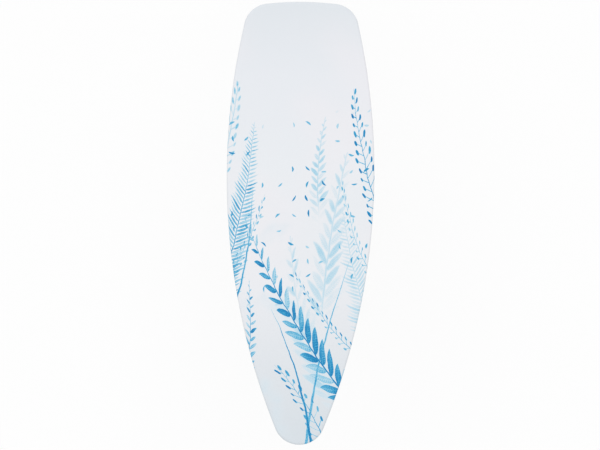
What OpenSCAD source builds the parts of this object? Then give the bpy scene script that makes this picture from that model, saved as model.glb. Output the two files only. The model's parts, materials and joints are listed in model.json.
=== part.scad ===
// Folding ironing board: a padded, cloth-covered steel top on two crossed leg frames.
// +X runs from the square tail to the round nose and +Z is up. The origin is on the floor,
// below the middle of the top. The outer leg frame turns on two brackets near the tail. The inner
// frame turns on the outer one where they cross, and its top rod slides in a guide under the top.
// A sprung clamp bar presses on that rod at any height until the lever under the edge lifts it.

/* [Board top] */
// Length of the covered top, tail to nose
board_length = 1350; // [1250:10:1400]
// Width of the covered top at its widest
board_width = 450; // [420:5:490]
// Distance from the tail to the widest place
widest_from_tail = 525; // [490:5:580]
// Radius of the round nose
nose_radius = 79; // [74:1:95]
// Radius of the two tail corners
tail_corner_radius = 78; // [65:1:95]
// Radius of the gently bowed tail edge
tail_bow_radius = 900; // [700:10:1500]
// Height of the ironing surface above the floor
work_height = 920; // [820:5:940]

/* [Cover and padding] */
// Thickness of the cotton cover
cover_thickness = 1; // [0.8:0.1:1.4]
// Rounding of the cover over the top edge
cover_edge_radius = 7; // [5:0.5:9]
// Rounding of the cover where it turns under the rim
cover_under_radius = 1.4; // [1:0.1:1.5]
// How far the hem runs in under the rim
hem_width = 45; // [30:1:50]
// Radius of the rolled hem around the elastic
hem_roll_radius = 3.2; // [3:0.1:3.8]
// Length of the turned-back end of the rolled hem
hem_tuck = 9; // [5:1:15]
// Diameter of the elastic in the hem
elastic_diameter = 3; // [2:0.1:3.2]
// Thickness of the foam layer
foam_thickness = 5; // [3:0.5:8]
// Thickness of the felt layer
felt_thickness = 3; // [2:0.5:6]

/* [Steel top] */
// Thickness of the vented steel sheet
sheet_thickness = 1; // [0.8:0.1:1.5]
// Depth of the rim below the top of the sheet
rim_depth = 18; // [15:1:24]
// Width of the flange turned in at the bottom of the rim
rim_flange = 14; // [8:1:20]
// Thickness of the rim strip
rim_thickness = 1.2; // [0.8:0.1:2]
// Steam vent size across its flats
vent_flats = 30; // [20:1:34]
// Steel left between two vents
vent_web = 10; // [8:1:20]
// Plain border left inside the rim
vent_margin = 20; // [15:1:40]
// Plain steel left round the pieces fixed under the sheet
vent_clear = 3; // [2:0.5:8]
// Distance from the tail to the joints of the rim strips
rim_joint_from_tail = 105; // [95:1:130]
// Distance from the nose to the joints of the rim strips
rim_joint_from_nose = 110; // [95:1:140]
// Width of a cross stiffener
stiffener_width = 26; // [20:1:40]
// Depth of a cross stiffener
stiffener_depth = 8; // [6:0.5:8]
// Thickness of the stiffener strip
stiffener_thickness = 1.2; // [0.8:0.1:2]
// Distance from the tail to each cross stiffener
stiffener_from_tail = [110, 445, 900, 1080]; // [100:5:1100]

/* [Legs] */
// Length of a leg, top pivot to the axis of its foot bar
leg_length = 1078; // [1000:1:1100]
// Diameter of a leg tube
leg_diameter = 22; // [18:1:25]
// Wall of a leg tube
leg_wall = 1.5; // [1:0.1:2]
// Distance between the two inner leg tubes
inner_leg_spacing = 80; // [76:1:96]
// Gap between an inner and an outer leg tube
leg_gap = 10; // [8:1:14]
// Distance from the tail to the fixed leg pivots
pivot_from_tail = 245; // [225:5:260]
// How much higher than the working height the board can be set
raise_height = 45; // [20:5:60]
// Leg angle when folded away
folded_angle = 1; // [1:0.5:4]
// Solid plug in the top of each leg tube
leg_plug = 18; // [16:1:40]
// Diameter of the brace between the inner tubes
brace_diameter = 16; // [10:1:18]
// Distance of that brace below the crossing
brace_below_crossing = 150; // [80:5:300]

/* [Leg pivots] */
// Diameter of the pivot bolts and crossing rivets
pivot_diameter = 8; // [6:1:9]
// Wall of the nylon pivot bushes
bush_wall = 2.5; // [1.5:0.25:3]
// Thickness of the bracket steel
bracket_thickness = 2.5; // [2:0.1:2.5]
// Length of a bracket's base along the board
bracket_length = 56; // [52:1:90]
// Radius of a bracket ear around its pivot
bracket_ear_radius = 14; // [12:0.5:16]
// Width of a bracket ear beside its pivot
bracket_neck = 22; // [18:1:23]
// Diameter of the bolt and rivet heads
pivot_head_diameter = 14; // [13:0.5:16]
// Height of the bolt heads and of the outer rivet heads
pivot_head_height = 4; // [3:0.5:6]
// Bevel of those heads
pivot_head_bevel = 3; // [1:0.5:4]
// Diameter of the spacer flange between the crossing tubes
crossing_flange = 20; // [16:0.5:22]
// Height of the thin nuts and of the inner rivet heads
pivot_nut_height = 3; // [2:0.5:3.5]
// Diameter of the small rivets in the sheet
sheet_rivet_diameter = 5; // [4:0.5:6]
// Diameter of their heads
sheet_rivet_head = 9; // [8:0.5:11]
// Height of their heads
sheet_rivet_head_height = 1.8; // [1:0.1:2.5]
// Bevel of their heads
sheet_rivet_bevel = 1; // [0.5:0.1:1.5]

/* [Feet] */
// Diameter of a foot bar
foot_bar_diameter = 25; // [22:1:28]
// Wall of a foot bar
foot_bar_wall = 1.5; // [1:0.1:2]
// Width over the caps of the outer leg's foot
outer_foot_width = 360; // [300:5:420]
// Width over the caps of the inner leg's foot
inner_foot_width = 400; // [300:5:440]
// Length of a rubber foot cap
cap_length = 52; // [40:1:70]
// Wall of a rubber foot cap
cap_wall = 3.5; // [3:0.25:5]
// Thickness of a cap's closed end
cap_end = 5; // [3:0.5:8]
// Bevel round the ends of a cap
cap_bevel = 2; // [1:0.25:2.5]
// Depth of the flat moulded into a cap's sole
cap_sole_flat = 1; // [0.5:0.1:1.5]
// Number of tread grooves round a cap
cap_grooves = 4; // [2:1:6]
// Width of a tread groove
cap_groove_width = 3; // [2:0.5:4]
// Depth of a tread groove
cap_groove_depth = 1.4; // [0.8:0.1:1.8]

/* [Height guide] */
// Outside width of the guide channel
guide_width = 40; // [36:1:42]
// Thickness of the guide steel
guide_thickness = 2; // [1.5:0.1:2.5]
// Steel below the guide slot
guide_lip = 6; // [4:0.5:10]
// Length of guide beyond each end of the rod's travel
guide_end = 35; // [25:1:45]
// Distance from the nose to the guide's end
guide_from_nose = 70; // [64:1:100]
// Thickness of the guide's end plates
end_plate_thickness = 3; // [2:0.5:5]
// Diameter of the sliding rod
slide_rod_diameter = 10; // [8:1:12]
// Wall of the nylon bushes on the rod
slide_bush_wall = 2; // [1.5:0.25:3]
// How far a rod bush stands out on each side of the guide wall
slide_bush_proud = 1.5; // [0.5:0.25:3]
// How far the rod stands out of the leg tubes
slide_rod_proud = 2; // [1:0.5:4]
// Number of rivets along the guide
guide_rivet_count = 5; // [4:1:7]
// Distance of the end rivets from the guide's ends
guide_rivet_end = 25; // [20:1:40]

/* [Clamp and lever] */
// Thickness of the clamp bar
clamp_thickness = 4; // [3:0.5:5]
// Diameter of the clamp shaft
shaft_diameter = 8; // [6:1:9]
// Gap between the clamp and the sides of the guide
clamp_side_gap = 3; // [2:0.5:4]
// How far the shaft stands out past the hub and the clip
shaft_end = 2; // [1:0.5:4]
// Width of the retaining clip round the shaft
clip_rim = 3; // [2:0.5:4]
// Thickness of the retaining clip
clip_thickness = 1.5; // [1:0.25:2]
// How deep the shaft is seated in the clamp bar
shaft_seat = 0.6; // [0.4:0.1:1]
// Angle through which the lever turns
lever_angle = 4; // [3:0.5:5]
// Thickness of the lever arm along the board
lever_thickness = 5; // [4:0.5:8]
// Height of the lever arm
lever_height = 9; // [7:0.5:11]
// Gap between the lever arm and the folded legs
lever_gap = 2; // [1:0.5:4]
// Room left above the raised lever arm
lever_headroom = 3; // [2:0.5:6]
// Length of the sloping part of the lever arm
lever_slope = 31; // [20:1:40]
// Diameter of the lever hub
hub_diameter = 20; // [18:0.5:22]
// Length of the lever hub
hub_length = 14; // [10:1:20]
// Diameter of the moulded lever grip
grip_diameter = 18; // [15:0.5:22]
// Length of the lever grip
grip_length = 76; // [60:1:84]
// How far the grip's end lies in from the board's edge
grip_inset = 14; // [8:1:25]
// Room left above the raised grip
grip_headroom = 2; // [1:0.5:8]
// Bevel at the grip's inner end
grip_bevel = 2; // [1:0.25:3]
// Bevel at the grip's outer end, and the thickness of that end
grip_nose = 4; // [3:0.25:6]
// Number of finger ribs on the grip
grip_ribs = 7; // [4:1:9]
// Width of the grooves between the ribs
grip_groove_width = 3.3; // [2:0.1:5]
// Depth of the grooves between the ribs
grip_groove_depth = 1.2; // [0.5:0.1:1.5]
// Outside diameter of the clamp springs
spring_diameter = 9; // [8:0.5:10]
// Wire diameter of the clamp springs
spring_wire = 1.2; // [1:0.1:1.6]
// Number of turns in a clamp spring
spring_turns = 6; // [4:1:8]
// Distance of the clamp springs from the guide's ends
spring_from_end = 60; // [50:1:100]

/* [Clearances] */
// Radial clearance of a running fit
running_clearance = 0.05; // [0.03:0.01:0.09]
// Gap between pieces that slide past or lie on each other
play = 0.3; // [0.2:0.05:0.4]
// Gap between the padding and the cover
pad_play = 0.6; // [0.5:0.05:0.8]
// Side gap between moving steel pieces
side_gap = 1; // [0.6:0.1:1.5]
// Gap at each end of a clamp spring
spring_seat_gap = 0.1; // [0.05:0.05:0.3]
// Gap between the grip's slot and the lever arm
grip_slot_gap = 0.1; // [0.05:0.05:0.3]

/* [Hidden] */
$fn = 64;
big = 3000;      // larger than the whole board
cut = 1;         // how far a cutting shape runs past what it cuts

steel_paint = [0.78, 0.80, 0.82];
bare_steel = "silver";
rubber_grey = "dimgray";
nylon_white = "whitesmoke";
cloth_white = "aliceblue";

// Outline of the top: nose arc, long side arc, tail corner arc and bowed tail, each tangent to the next
tail_x = -board_length / 2;
nose_x = board_length / 2;
widest_x = tail_x + widest_from_tail;
nose_reach = nose_x - widest_x;
side_radius = (pow(nose_reach, 2) + pow(board_width / 2, 2) - 2 * nose_radius * nose_reach)
    / (board_width - 2 * nose_radius);
nose_centre = [nose_x - nose_radius, 0];
side_centre = [widest_x, board_width / 2 - side_radius];
bow_centre = [tail_x + tail_bow_radius, 0];
corner_centre = circles_meet(side_centre, side_radius - tail_corner_radius,
                             bow_centre, tail_bow_radius - tail_corner_radius);
nose_to_side = bearing(side_centre, nose_centre);
side_to_corner = bearing(side_centre, corner_centre);
corner_to_bow = bearing(bow_centre, corner_centre);
nose_steps = 8;
side_steps = 16;
corner_steps = 7;
bow_steps = 3;

// Heights of the layers, from the ironing surface down
foam_top_z = work_height - cover_thickness - pad_play;
felt_top_z = foam_top_z - foam_thickness;
sheet_top_z = felt_top_z - felt_thickness;
sheet_bottom_z = sheet_top_z - sheet_thickness;
rim_bottom_z = sheet_top_z - rim_depth;
hem_bottom_z = rim_bottom_z - play - cover_thickness;
pad_inset = cover_thickness + pad_play;
rim_inset = cover_thickness + play;
sheet_inset = rim_inset + rim_thickness;
hem_roll_z = hem_bottom_z + cover_thickness / 2 + hem_roll_radius;

// Leg tubes across the board
leg_r = leg_diameter / 2;
pivot_r = pivot_diameter / 2;
bush_r = pivot_r + running_clearance + bush_wall;
inner_leg_y = inner_leg_spacing / 2;
outer_leg_y = inner_leg_y + leg_diameter + leg_gap;
outer_face_y = outer_leg_y + leg_r;

// Clamp and lever, measured from the leg pivot height
slide_rod_r = slide_rod_diameter / 2;
slide_bush_r = slide_rod_r + slide_bush_wall;
shaft_r = shaft_diameter / 2;
clamp_bottom = slide_rod_r + play;
clamp_top = clamp_bottom + clamp_thickness;
shaft_rise = clamp_top + shaft_r - shaft_seat;
guide_inside = guide_width / 2 - guide_thickness;
shaft_y = -guide_inside + shaft_r + clamp_side_gap;
lever_bend_y = outer_face_y + pivot_head_height + lever_gap;
lever_lift = (lever_bend_y - shaft_y) * sin(lever_angle);
lever_low = leg_r + lever_gap;
pivot_drop = lever_low + lever_height + lever_lift + lever_headroom;

// Leg stance: both frames are equally long from pivot to crossing, so the top stays level
cap_r = foot_bar_diameter / 2 + cap_wall;
foot_axis_z = cap_r - cap_sole_flat;
pivot_z = sheet_bottom_z - pivot_drop;
stand_angle = asin((pivot_z - foot_axis_z) / leg_length);
highest_angle = asin((pivot_z + raise_height - foot_axis_z) / leg_length);
pivot_x = tail_x + pivot_from_tail;
guide_x1 = nose_x - guide_from_nose;
slider_folded_x = guide_x1 - guide_end;
crossing = (slider_folded_x - pivot_x) / 2 / cos(folded_angle);
slider_x = pivot_x + 2 * crossing * cos(stand_angle);
slider_raised_x = pivot_x + 2 * crossing * cos(highest_angle);
guide_x0 = slider_raised_x - guide_end;
guide_bottom_z = pivot_z - slide_bush_r - play - guide_lip;
web_z = sheet_bottom_z - guide_thickness;

// Lever placed just outside the tail end of the guide
hub_x1 = guide_x0 - side_gap;
hub_x0 = hub_x1 - hub_length;
lever_x = (hub_x0 + hub_x1) / 2;
clip_x = guide_x1 + side_gap;
shaft_z = pivot_z + shaft_rise;
grip_end_y = half_width(lever_x, 0) - grip_inset;
grip_start_y = grip_end_y - grip_length;
lever_travel = (grip_end_y - shaft_y) * sin(lever_angle);
grip_z = hem_bottom_z - lever_travel - grip_diameter / 2 - grip_headroom;
lever_arm_z = pivot_z + lever_low + lever_height / 2;

// Clamp springs between the clamp bar and the guide's web
spring_xs = [guide_x0 + spring_from_end, guide_x1 - spring_from_end];
spring_y = (shaft_y + shaft_r + guide_inside) / 2;
spring_length = web_z - pivot_z - clamp_top - 2 * spring_seat_gap;
spring_rings = 8;
spring_sides = 6;

// Rivets through the sheet
sheet_rivet_r = sheet_rivet_diameter / 2;
guide_rivet_step = (guide_x1 - guide_x0 - 2 * guide_rivet_end) / (guide_rivet_count - 1);
guide_rivet_spots = [for (i = [0 : guide_rivet_count - 1])
    [guide_x0 + guide_rivet_end + i * guide_rivet_step, 0]];
bracket_rivet_x = bracket_length / 2 - sheet_rivet_head;
bracket_rivet_spots = [for (dx = [-bracket_rivet_x, bracket_rivet_x], side = [-1, 1])
    [pivot_x + dx, side * outer_leg_y]];

// Bracket ears on both sides of an outer leg tube
ear_gap = leg_diameter + 2 * side_gap;
bracket_width = ear_gap + 2 * bracket_thickness;

// Steam vents on a honeycomb grid, kept off the border, the stiffeners, the guide and the brackets
vent_pitch = vent_flats + vent_web;
vent_r = vent_flats / 2 / cos(30);
vent_column = vent_pitch * cos(30);
vent_columns = floor(board_length / 2 / vent_column);
vent_rows = floor(board_width / 2 / vent_pitch) + 1;
vent_spots = [for (i = [-vent_columns : vent_columns], j = [-vent_rows : vent_rows])
    let (spot = [i * vent_column, (j + (i % 2 == 0 ? 0 : 0.5)) * vent_pitch])
    if (vent_fits(spot)) spot];
echo(vents = len(vent_spots));
echo(spring_least_gap = spring_least_gap());

function bearing(from, to) = atan2(to[1] - from[1], to[0] - from[0]);

// Where two circles meet, on the side with positive Y
function circles_meet(c0, r0, c1, r1) =
    let (d = norm(c1 - c0),
         along = (r0 * r0 - r1 * r1 + d * d) / (2 * d),
         away = sqrt(r0 * r0 - along * along),
         u = (c1 - c0) / d)
    c0 + along * u + away * [-u[1], u[0]];

function arc(centre, radius, start, end, steps) = [for (i = [0 : steps])
    let (a = start + (end - start) * i / steps) centre + radius * [cos(a), sin(a)]];

function without_first(list) = [for (i = [1 : len(list) - 1]) list[i]];

// Half of the outline with positive Y, from the nose tip to the middle of the tail
function half_outline(inset) = concat(
    arc(nose_centre, nose_radius - inset, 0, nose_to_side, nose_steps),
    without_first(arc(side_centre, side_radius - inset, nose_to_side, side_to_corner, side_steps)),
    without_first(arc(corner_centre, tail_corner_radius - inset, side_to_corner, corner_to_bow,
                      corner_steps)),
    without_first(arc(bow_centre, tail_bow_radius - inset, corner_to_bow, 180, bow_steps)));

function outline(inset) =
    let (half = half_outline(inset), last = len(half) - 1)
    concat(half, [for (i = [last - 1 : -1 : 1]) [half[i][0], -half[i][1]]]);

// Half the width of the inset outline at x, and 0 past its ends
function half_width(x, inset) =
    x > nose_x - inset || x < tail_x + inset ? 0 :
    x > (nose_centre + nose_radius * [cos(nose_to_side), 0])[0]
        ? sqrt(max(0, pow(nose_radius - inset, 2) - pow(x - nose_centre[0], 2))) :
    x > (side_centre + side_radius * [cos(side_to_corner), 0])[0]
        ? side_centre[1] + sqrt(pow(side_radius - inset, 2) - pow(x - side_centre[0], 2)) :
    corner_centre[1] + sqrt(max(0, pow(tail_corner_radius - inset, 2) - pow(x - corner_centre[0], 2)));

function in_box(p, x0, x1, y0, y1, grow) =
    p[0] > x0 - grow && p[0] < x1 + grow && abs(p[1]) > y0 - grow && abs(p[1]) < y1 + grow;

function vent_fits(p) =
    let (edge = sheet_inset + vent_margin + vent_r, near = vent_r + vent_clear)
    abs(p[1]) < half_width(p[0], edge)
    && p[0] > tail_x + edge
    && !in_box(p, guide_x0, guide_x1, 0, guide_width / 2, near)
    && !in_box(p, pivot_x - bracket_length / 2, pivot_x + bracket_length / 2,
               outer_leg_y - bracket_width / 2, outer_leg_y + bracket_width / 2, near)
    && len([for (s = stiffener_from_tail)
            if (abs(p[0] - tail_x - s) < stiffener_width / 2 + near) s]) == 0;

// A closed skin through a list of [inset, z] rings of the outline. A ring list that closes on itself
// makes a hollow-free ring, and any other is closed by a flat cap at each end.
module loft(rings, closed = false) {
    n = len(outline(0));
    m = len(rings);
    points = [for (r = rings, p = outline(r[0])) [p[0], p[1], r[1]]];
    spans = closed ? m : m - 1;
    sides = [for (k = [0 : spans - 1], i = [0 : n - 1])
        let (a = k * n, b = ((k + 1) % m) * n, next = (i + 1) % n)
        each [[a + i, b + i, b + next], [a + i, b + next, a + next]]];
    half = n / 2;
    strip = [for (i = [0 : half - 1])
        let (left = i, left_next = i + 1, right = (n - i) % n, right_next = n - i - 1)
        each (i == 0 ? [[0, left_next, right_next]] :
              i == half - 1 ? [[left, left_next, right]] :
              [[left, left_next, right], [left_next, right_next, right]])];
    last = (m - 1) * n;
    caps = closed ? [] : concat(
        strip,
        [for (t = strip) [last + t[2], last + t[1], last + t[0]]]);
    polyhedron(points, concat(sides, caps), convexity = 6);
}

module slab(inset, z0, z1) {
    translate([0, 0, z0]) linear_extrude(z1 - z0) polygon(outline(inset));
}

// A cylinder along Y between two places
module bar_y(r, y0, y1) {
    translate([0, y0, 0]) rotate([-90, 0, 0]) cylinder(r = r, h = y1 - y0);
}

// A cylinder along X between two places
module bar_x(r, x0, x1) {
    translate([x0, 0, 0]) rotate([0, 90, 0]) cylinder(r = r, h = x1 - x0);
}

module both_sides() {
    children();
    mirror([0, 1, 0]) children();
}

// Frames of the two legs: local +X runs down the leg from its top pivot
module on_outer_leg() {
    translate([pivot_x, 0, pivot_z]) rotate([0, stand_angle, 0]) children();
}

module on_inner_leg() {
    translate([slider_x, 0, pivot_z]) rotate([0, 180 - stand_angle, 0]) children();
}

// Cover: one cloth over the pad, round the edge, down the rim and in under it to a rolled hem
module cover_cloth() {
    t = cover_thickness;
    e = cover_edge_radius;
    u = cover_under_radius;
    top = work_height;
    low = hem_bottom_z;
    mid = cos(45);
    roll_in = hem_roll_radius - t / 2;
    roll_out = hem_roll_radius + t / 2;
    inside = [
        [e, top - t], [e - (e - t) * mid, top - e + (e - t) * mid], [t, top - e],
        [t, low + t], [hem_width, low + t],
        [hem_width + roll_in, hem_roll_z], [hem_width, hem_roll_z + roll_in],
        [hem_width - hem_tuck, hem_roll_z + roll_in]];
    outside = [
        [hem_width - hem_tuck, hem_roll_z + roll_out], [hem_width, hem_roll_z + roll_out],
        [hem_width + roll_out, hem_roll_z], [hem_width, low],
        [u, low], [0, low + u],
        [0, top - e], [e - e * mid, top - e + e * mid], [e, top]];
    color(cloth_white) loft(concat(inside, outside));
}

// Elastic ring that lies in the rolled hem and draws it in
module hem_elastic() {
    sides = 6;
    color("white") loft([for (i = [0 : sides - 1])
        [hem_width - elastic_diameter / 2 * cos(i * 360 / sides),
         hem_roll_z + elastic_diameter / 2 * sin(i * 360 / sides)]], closed = true);
}

// Foam layer with its top edge rounded to lie inside the cover
module foam_pad() {
    r = cover_edge_radius - pad_inset;
    centre_z = work_height - cover_edge_radius;
    low_z = min(felt_top_z, centre_z);
    color("lightyellow") intersection() {
        loft([[pad_inset, low_z - cut], [pad_inset, centre_z],
              [cover_edge_radius - r * cos(45), centre_z + r * sin(45)],
              [cover_edge_radius, foam_top_z]]);
        translate([-big / 2, -big / 2, felt_top_z]) cube([big, big, foam_thickness]);
    }
}

module felt_pad() {
    color("lightgray") slab(pad_inset, sheet_top_z, felt_top_z);
}

module sheet_top() {
    color(steel_paint) translate([0, 0, sheet_bottom_z]) linear_extrude(sheet_thickness) difference() {
        polygon(outline(sheet_inset));
        for (p = vent_spots) translate(p) circle(r = vent_r, $fn = 6);
        for (p = concat(guide_rivet_spots, bracket_rivet_spots))
            translate(p) circle(r = sheet_rivet_r + running_clearance);
    }
}

// Rim: a steel strip round the sheet with a flange turned in at its bottom edge, in four welded lengths
rim_tail_x = tail_x + rim_joint_from_tail;
rim_nose_x = nose_x - rim_joint_from_nose;

module rim_ring() {
    difference() {
        slab(rim_inset, rim_bottom_z, sheet_top_z);
        slab(rim_inset + rim_thickness, rim_bottom_z + rim_thickness, sheet_top_z + cut);
        slab(rim_inset + rim_flange, rim_bottom_z - cut, rim_bottom_z + 2 * rim_thickness);
    }
}

module rim_part(x0, x1, y0, y1) {
    color(steel_paint) intersection() {
        rim_ring();
        translate([x0, y0, rim_bottom_z - cut]) cube([x1 - x0, y1 - y0, rim_depth + 2 * cut]);
    }
}

module rim_tail() { rim_part(-big / 2, rim_tail_x, -big / 2, big / 2); }
module rim_left() { rim_part(rim_tail_x, rim_nose_x, 0, big / 2); }
module rim_right() { rim_part(rim_tail_x, rim_nose_x, -big / 2, 0); }
module rim_nose() { rim_part(rim_nose_x, big / 2, -big / 2, big / 2); }

// Cross stiffeners: shallow channels under the sheet, from rim to rim, interrupted by the guide
module cross_stiffeners() {
    inner = stiffener_width - 2 * stiffener_thickness;
    color(steel_paint) difference() {
        intersection() {
            for (s = stiffener_from_tail) translate([tail_x + s - stiffener_width / 2, -big / 2,
                                                     sheet_bottom_z - stiffener_depth])
                difference() {
                    cube([stiffener_width, big, stiffener_depth]);
                    translate([stiffener_thickness, -cut, stiffener_thickness])
                        cube([inner, big + 2 * cut, stiffener_depth]);
                }
            slab(sheet_inset, sheet_bottom_z - stiffener_depth - cut, sheet_bottom_z + cut);
        }
        translate([guide_x0 - side_gap, -guide_width / 2, sheet_bottom_z - stiffener_depth - cut])
            cube([guide_x1 - guide_x0 + 2 * side_gap, guide_width, stiffener_depth + 2 * cut]);
    }
}

// Guide: a channel under the sheet, open below, with a long slot in each side for the sliding rod
module guide_channel() {
    slot_half = slide_bush_r + play;
    length = guide_x1 - guide_x0;
    color(bare_steel) difference() {
        translate([guide_x0, -guide_width / 2, guide_bottom_z])
            cube([length, guide_width, sheet_bottom_z - guide_bottom_z]);
        translate([guide_x0 - cut, -guide_inside, guide_bottom_z - cut])
            cube([length + 2 * cut, 2 * guide_inside, web_z - guide_bottom_z + cut]);
        translate([slider_raised_x - slot_half, -guide_width, pivot_z - slot_half])
            cube([slider_folded_x - slider_raised_x + 2 * slot_half, 2 * guide_width, 2 * slot_half]);
        for (p = guide_rivet_spots) translate([p[0], p[1], web_z - cut])
            cylinder(r = sheet_rivet_r + running_clearance, h = guide_thickness + 2 * cut);
    }
}

module guide_end_plates() {
    color(bare_steel) for (x = [guide_x0, guide_x1 - end_plate_thickness]) difference() {
        translate([x, -guide_inside, guide_bottom_z])
            cube([end_plate_thickness, 2 * guide_inside, web_z - guide_bottom_z]);
        translate([0, shaft_y, shaft_z])
            bar_x(shaft_r + running_clearance, x - cut, x + end_plate_thickness + cut);
    }
}

// A rivet flush with the top of the sheet, with its head under the piece that it holds
module sheet_rivet(under_z) {
    translate([0, 0, under_z]) cylinder(r = sheet_rivet_r, h = sheet_top_z - under_z);
    head_r = sheet_rivet_head / 2;
    translate([0, 0, under_z - sheet_rivet_head_height])
        cylinder(r1 = head_r - sheet_rivet_bevel, r2 = head_r, h = sheet_rivet_head_height);
}

module guide_rivets() {
    color(bare_steel) for (p = guide_rivet_spots) translate(p) sheet_rivet(web_z);
}

module bracket_rivets() {
    color(bare_steel) for (p = bracket_rivet_spots) translate(p)
        sheet_rivet(sheet_bottom_z - bracket_thickness);
}

// Pivot bracket: a base under the sheet and two ears beside an outer leg tube
module pivot_bracket() {
    ear_top = pivot_drop - bracket_thickness;
    foot = bracket_length / 2;
    neck = bracket_neck / 2;
    color(steel_paint) translate([pivot_x, outer_leg_y, pivot_z]) difference() {
        union() {
            translate([-foot, -bracket_width / 2, ear_top])
                cube([bracket_length, bracket_width, bracket_thickness]);
            for (y = [-bracket_width / 2, ear_gap / 2]) translate([0, y + bracket_thickness, 0])
                rotate([90, 0, 0]) linear_extrude(bracket_thickness) union() {
                    circle(r = bracket_ear_radius);
                    polygon([[-neck, -cut], [neck, -cut], [foot, ear_top], [-foot, ear_top]]);
                }
        }
        bar_y(pivot_r + running_clearance, -bracket_width, bracket_width);
        for (dx = [-bracket_rivet_x, bracket_rivet_x]) translate([dx, 0, ear_top - cut])
            cylinder(r = sheet_rivet_r + running_clearance, h = bracket_thickness + 2 * cut);
    }
}

module pivot_bracket_left() { pivot_bracket(); }
module pivot_bracket_right() { mirror([0, 1, 0]) pivot_bracket(); }

// Pivot bolts: low domed head outside, thin nut inside
ear_out_y = outer_leg_y + bracket_width / 2;
ear_in_y = outer_leg_y - bracket_width / 2;

module domed_head(r, h) {
    cylinder(r = r, h = h / 2);
    translate([0, 0, h / 2]) cylinder(r1 = r, r2 = r - pivot_head_bevel, h = h / 2);
}

module pivot_bolts() {
    color(bare_steel) both_sides() translate([pivot_x, 0, pivot_z]) {
        bar_y(pivot_r, ear_in_y - pivot_nut_height, ear_out_y + cut);
        translate([0, ear_out_y, 0]) rotate([-90, 0, 0])
            domed_head(pivot_head_diameter / 2, pivot_head_height);
    }
}

module pivot_nuts() {
    color(bare_steel) both_sides() translate([pivot_x, ear_in_y, pivot_z]) rotate([90, 0, 0]) difference() {
        cylinder(r = pivot_head_diameter / 2, h = pivot_nut_height, $fn = 6);
        translate([0, 0, -cut]) cylinder(r = pivot_r + running_clearance, h = pivot_nut_height + 2 * cut);
    }
}

// A leg tube with a domed, plugged top, coped at its lower end to lie against its foot bar
module leg_tube(y, top_bore_r, crossing_bore_r) {
    translate([0, y, 0]) difference() {
        union() {
            bar_x(leg_r, 0, leg_length);
            sphere(r = leg_r);
        }
        bar_x(leg_r - leg_wall, leg_plug, leg_length + cut);
        bar_y(top_bore_r, -leg_diameter, leg_diameter);
        translate([crossing, 0, 0]) bar_y(crossing_bore_r, -leg_diameter, leg_diameter);
        translate([leg_length, 0, 0]) bar_y(foot_bar_diameter / 2, -leg_diameter, leg_diameter);
    }
}

module foot_bar(width) {
    half = width / 2 - cap_end;
    translate([leg_length, 0, 0]) difference() {
        bar_y(foot_bar_diameter / 2, -half, half);
        bar_y(foot_bar_diameter / 2 - foot_bar_wall, -half - cut, half + cut);
    }
}

// A rubber cap on the left end of a foot bar, with tread grooves round it
module foot_cap(width) {
    groove_step = (cap_length - cap_end) / (cap_grooves + 1);
    translate([leg_length, width / 2, 0]) rotate([90, 0, 0]) rotate_extrude() difference() {
        polygon([[0, 0], [cap_r - cap_bevel, 0], [cap_r, cap_bevel],
                 [cap_r, cap_length - cap_bevel], [cap_r - cap_bevel, cap_length],
                 [foot_bar_diameter / 2, cap_length], [foot_bar_diameter / 2, cap_end], [0, cap_end]]);
        for (i = [1 : cap_grooves])
            translate([cap_r - cap_groove_depth, cap_end + i * groove_step - cap_groove_width / 2])
                square([cap_groove_depth + cut, cap_groove_width]);
    }
}

module below_floor() {
    translate([-big / 2, -big / 2, -big]) cube([big, big, big]);
}

module outer_leg_tube(y) {
    color(steel_paint) on_outer_leg() leg_tube(y, bush_r, pivot_r + running_clearance);
}

module outer_leg_tube_left() { outer_leg_tube(outer_leg_y); }
module outer_leg_tube_right() { outer_leg_tube(-outer_leg_y); }

module outer_pivot_bushes() {
    proud = side_gap / 2;
    color(nylon_white) on_outer_leg() both_sides() difference() {
        bar_y(bush_r, outer_leg_y - leg_r - proud, outer_face_y + proud);
        bar_y(pivot_r + running_clearance, outer_leg_y - leg_diameter, outer_leg_y + leg_diameter);
    }
}

// Rivets that join the two leg frames where they cross
module crossing_rivets() {
    inner_face_y = inner_leg_y - leg_r;
    color(bare_steel) on_outer_leg() both_sides() translate([crossing, 0, 0]) {
        bar_y(pivot_r, inner_face_y - side_gap - cut, outer_face_y + cut);
        translate([0, outer_face_y, 0]) rotate([-90, 0, 0])
            domed_head(pivot_head_diameter / 2, pivot_head_height);
        translate([0, inner_face_y - side_gap, 0]) rotate([90, 0, 0])
            domed_head(pivot_head_diameter / 2, pivot_nut_height);
    }
}

module outer_foot_bar() { color(steel_paint) on_outer_leg() foot_bar(outer_foot_width); }

module outer_foot_cap(side) {
    color(rubber_grey) difference() {
        on_outer_leg() mirror([0, side, 0]) foot_cap(outer_foot_width);
        below_floor();
    }
}

module outer_foot_cap_left() { outer_foot_cap(0); }
module outer_foot_cap_right() { outer_foot_cap(1); }

module inner_leg_tube(y) {
    color(steel_paint) on_inner_leg() leg_tube(y, slide_rod_r + running_clearance, bush_r);
}

module inner_leg_tube_left() { inner_leg_tube(inner_leg_y); }
module inner_leg_tube_right() { inner_leg_tube(-inner_leg_y); }

// Nylon bushes in the inner tubes, with a wide flange that spaces the two tubes apart
module crossing_bushes() {
    inner_face_y = inner_leg_y - leg_r;
    flange_y = inner_leg_y + leg_r;
    color(nylon_white) on_inner_leg() both_sides() translate([crossing, 0, 0]) difference() {
        union() {
            bar_y(bush_r, inner_face_y - side_gap + play, flange_y + cut);
            bar_y(crossing_flange / 2, flange_y, flange_y + leg_gap - play);
        }
        bar_y(pivot_r + running_clearance, inner_face_y - leg_diameter, flange_y + leg_diameter);
    }
}

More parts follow.
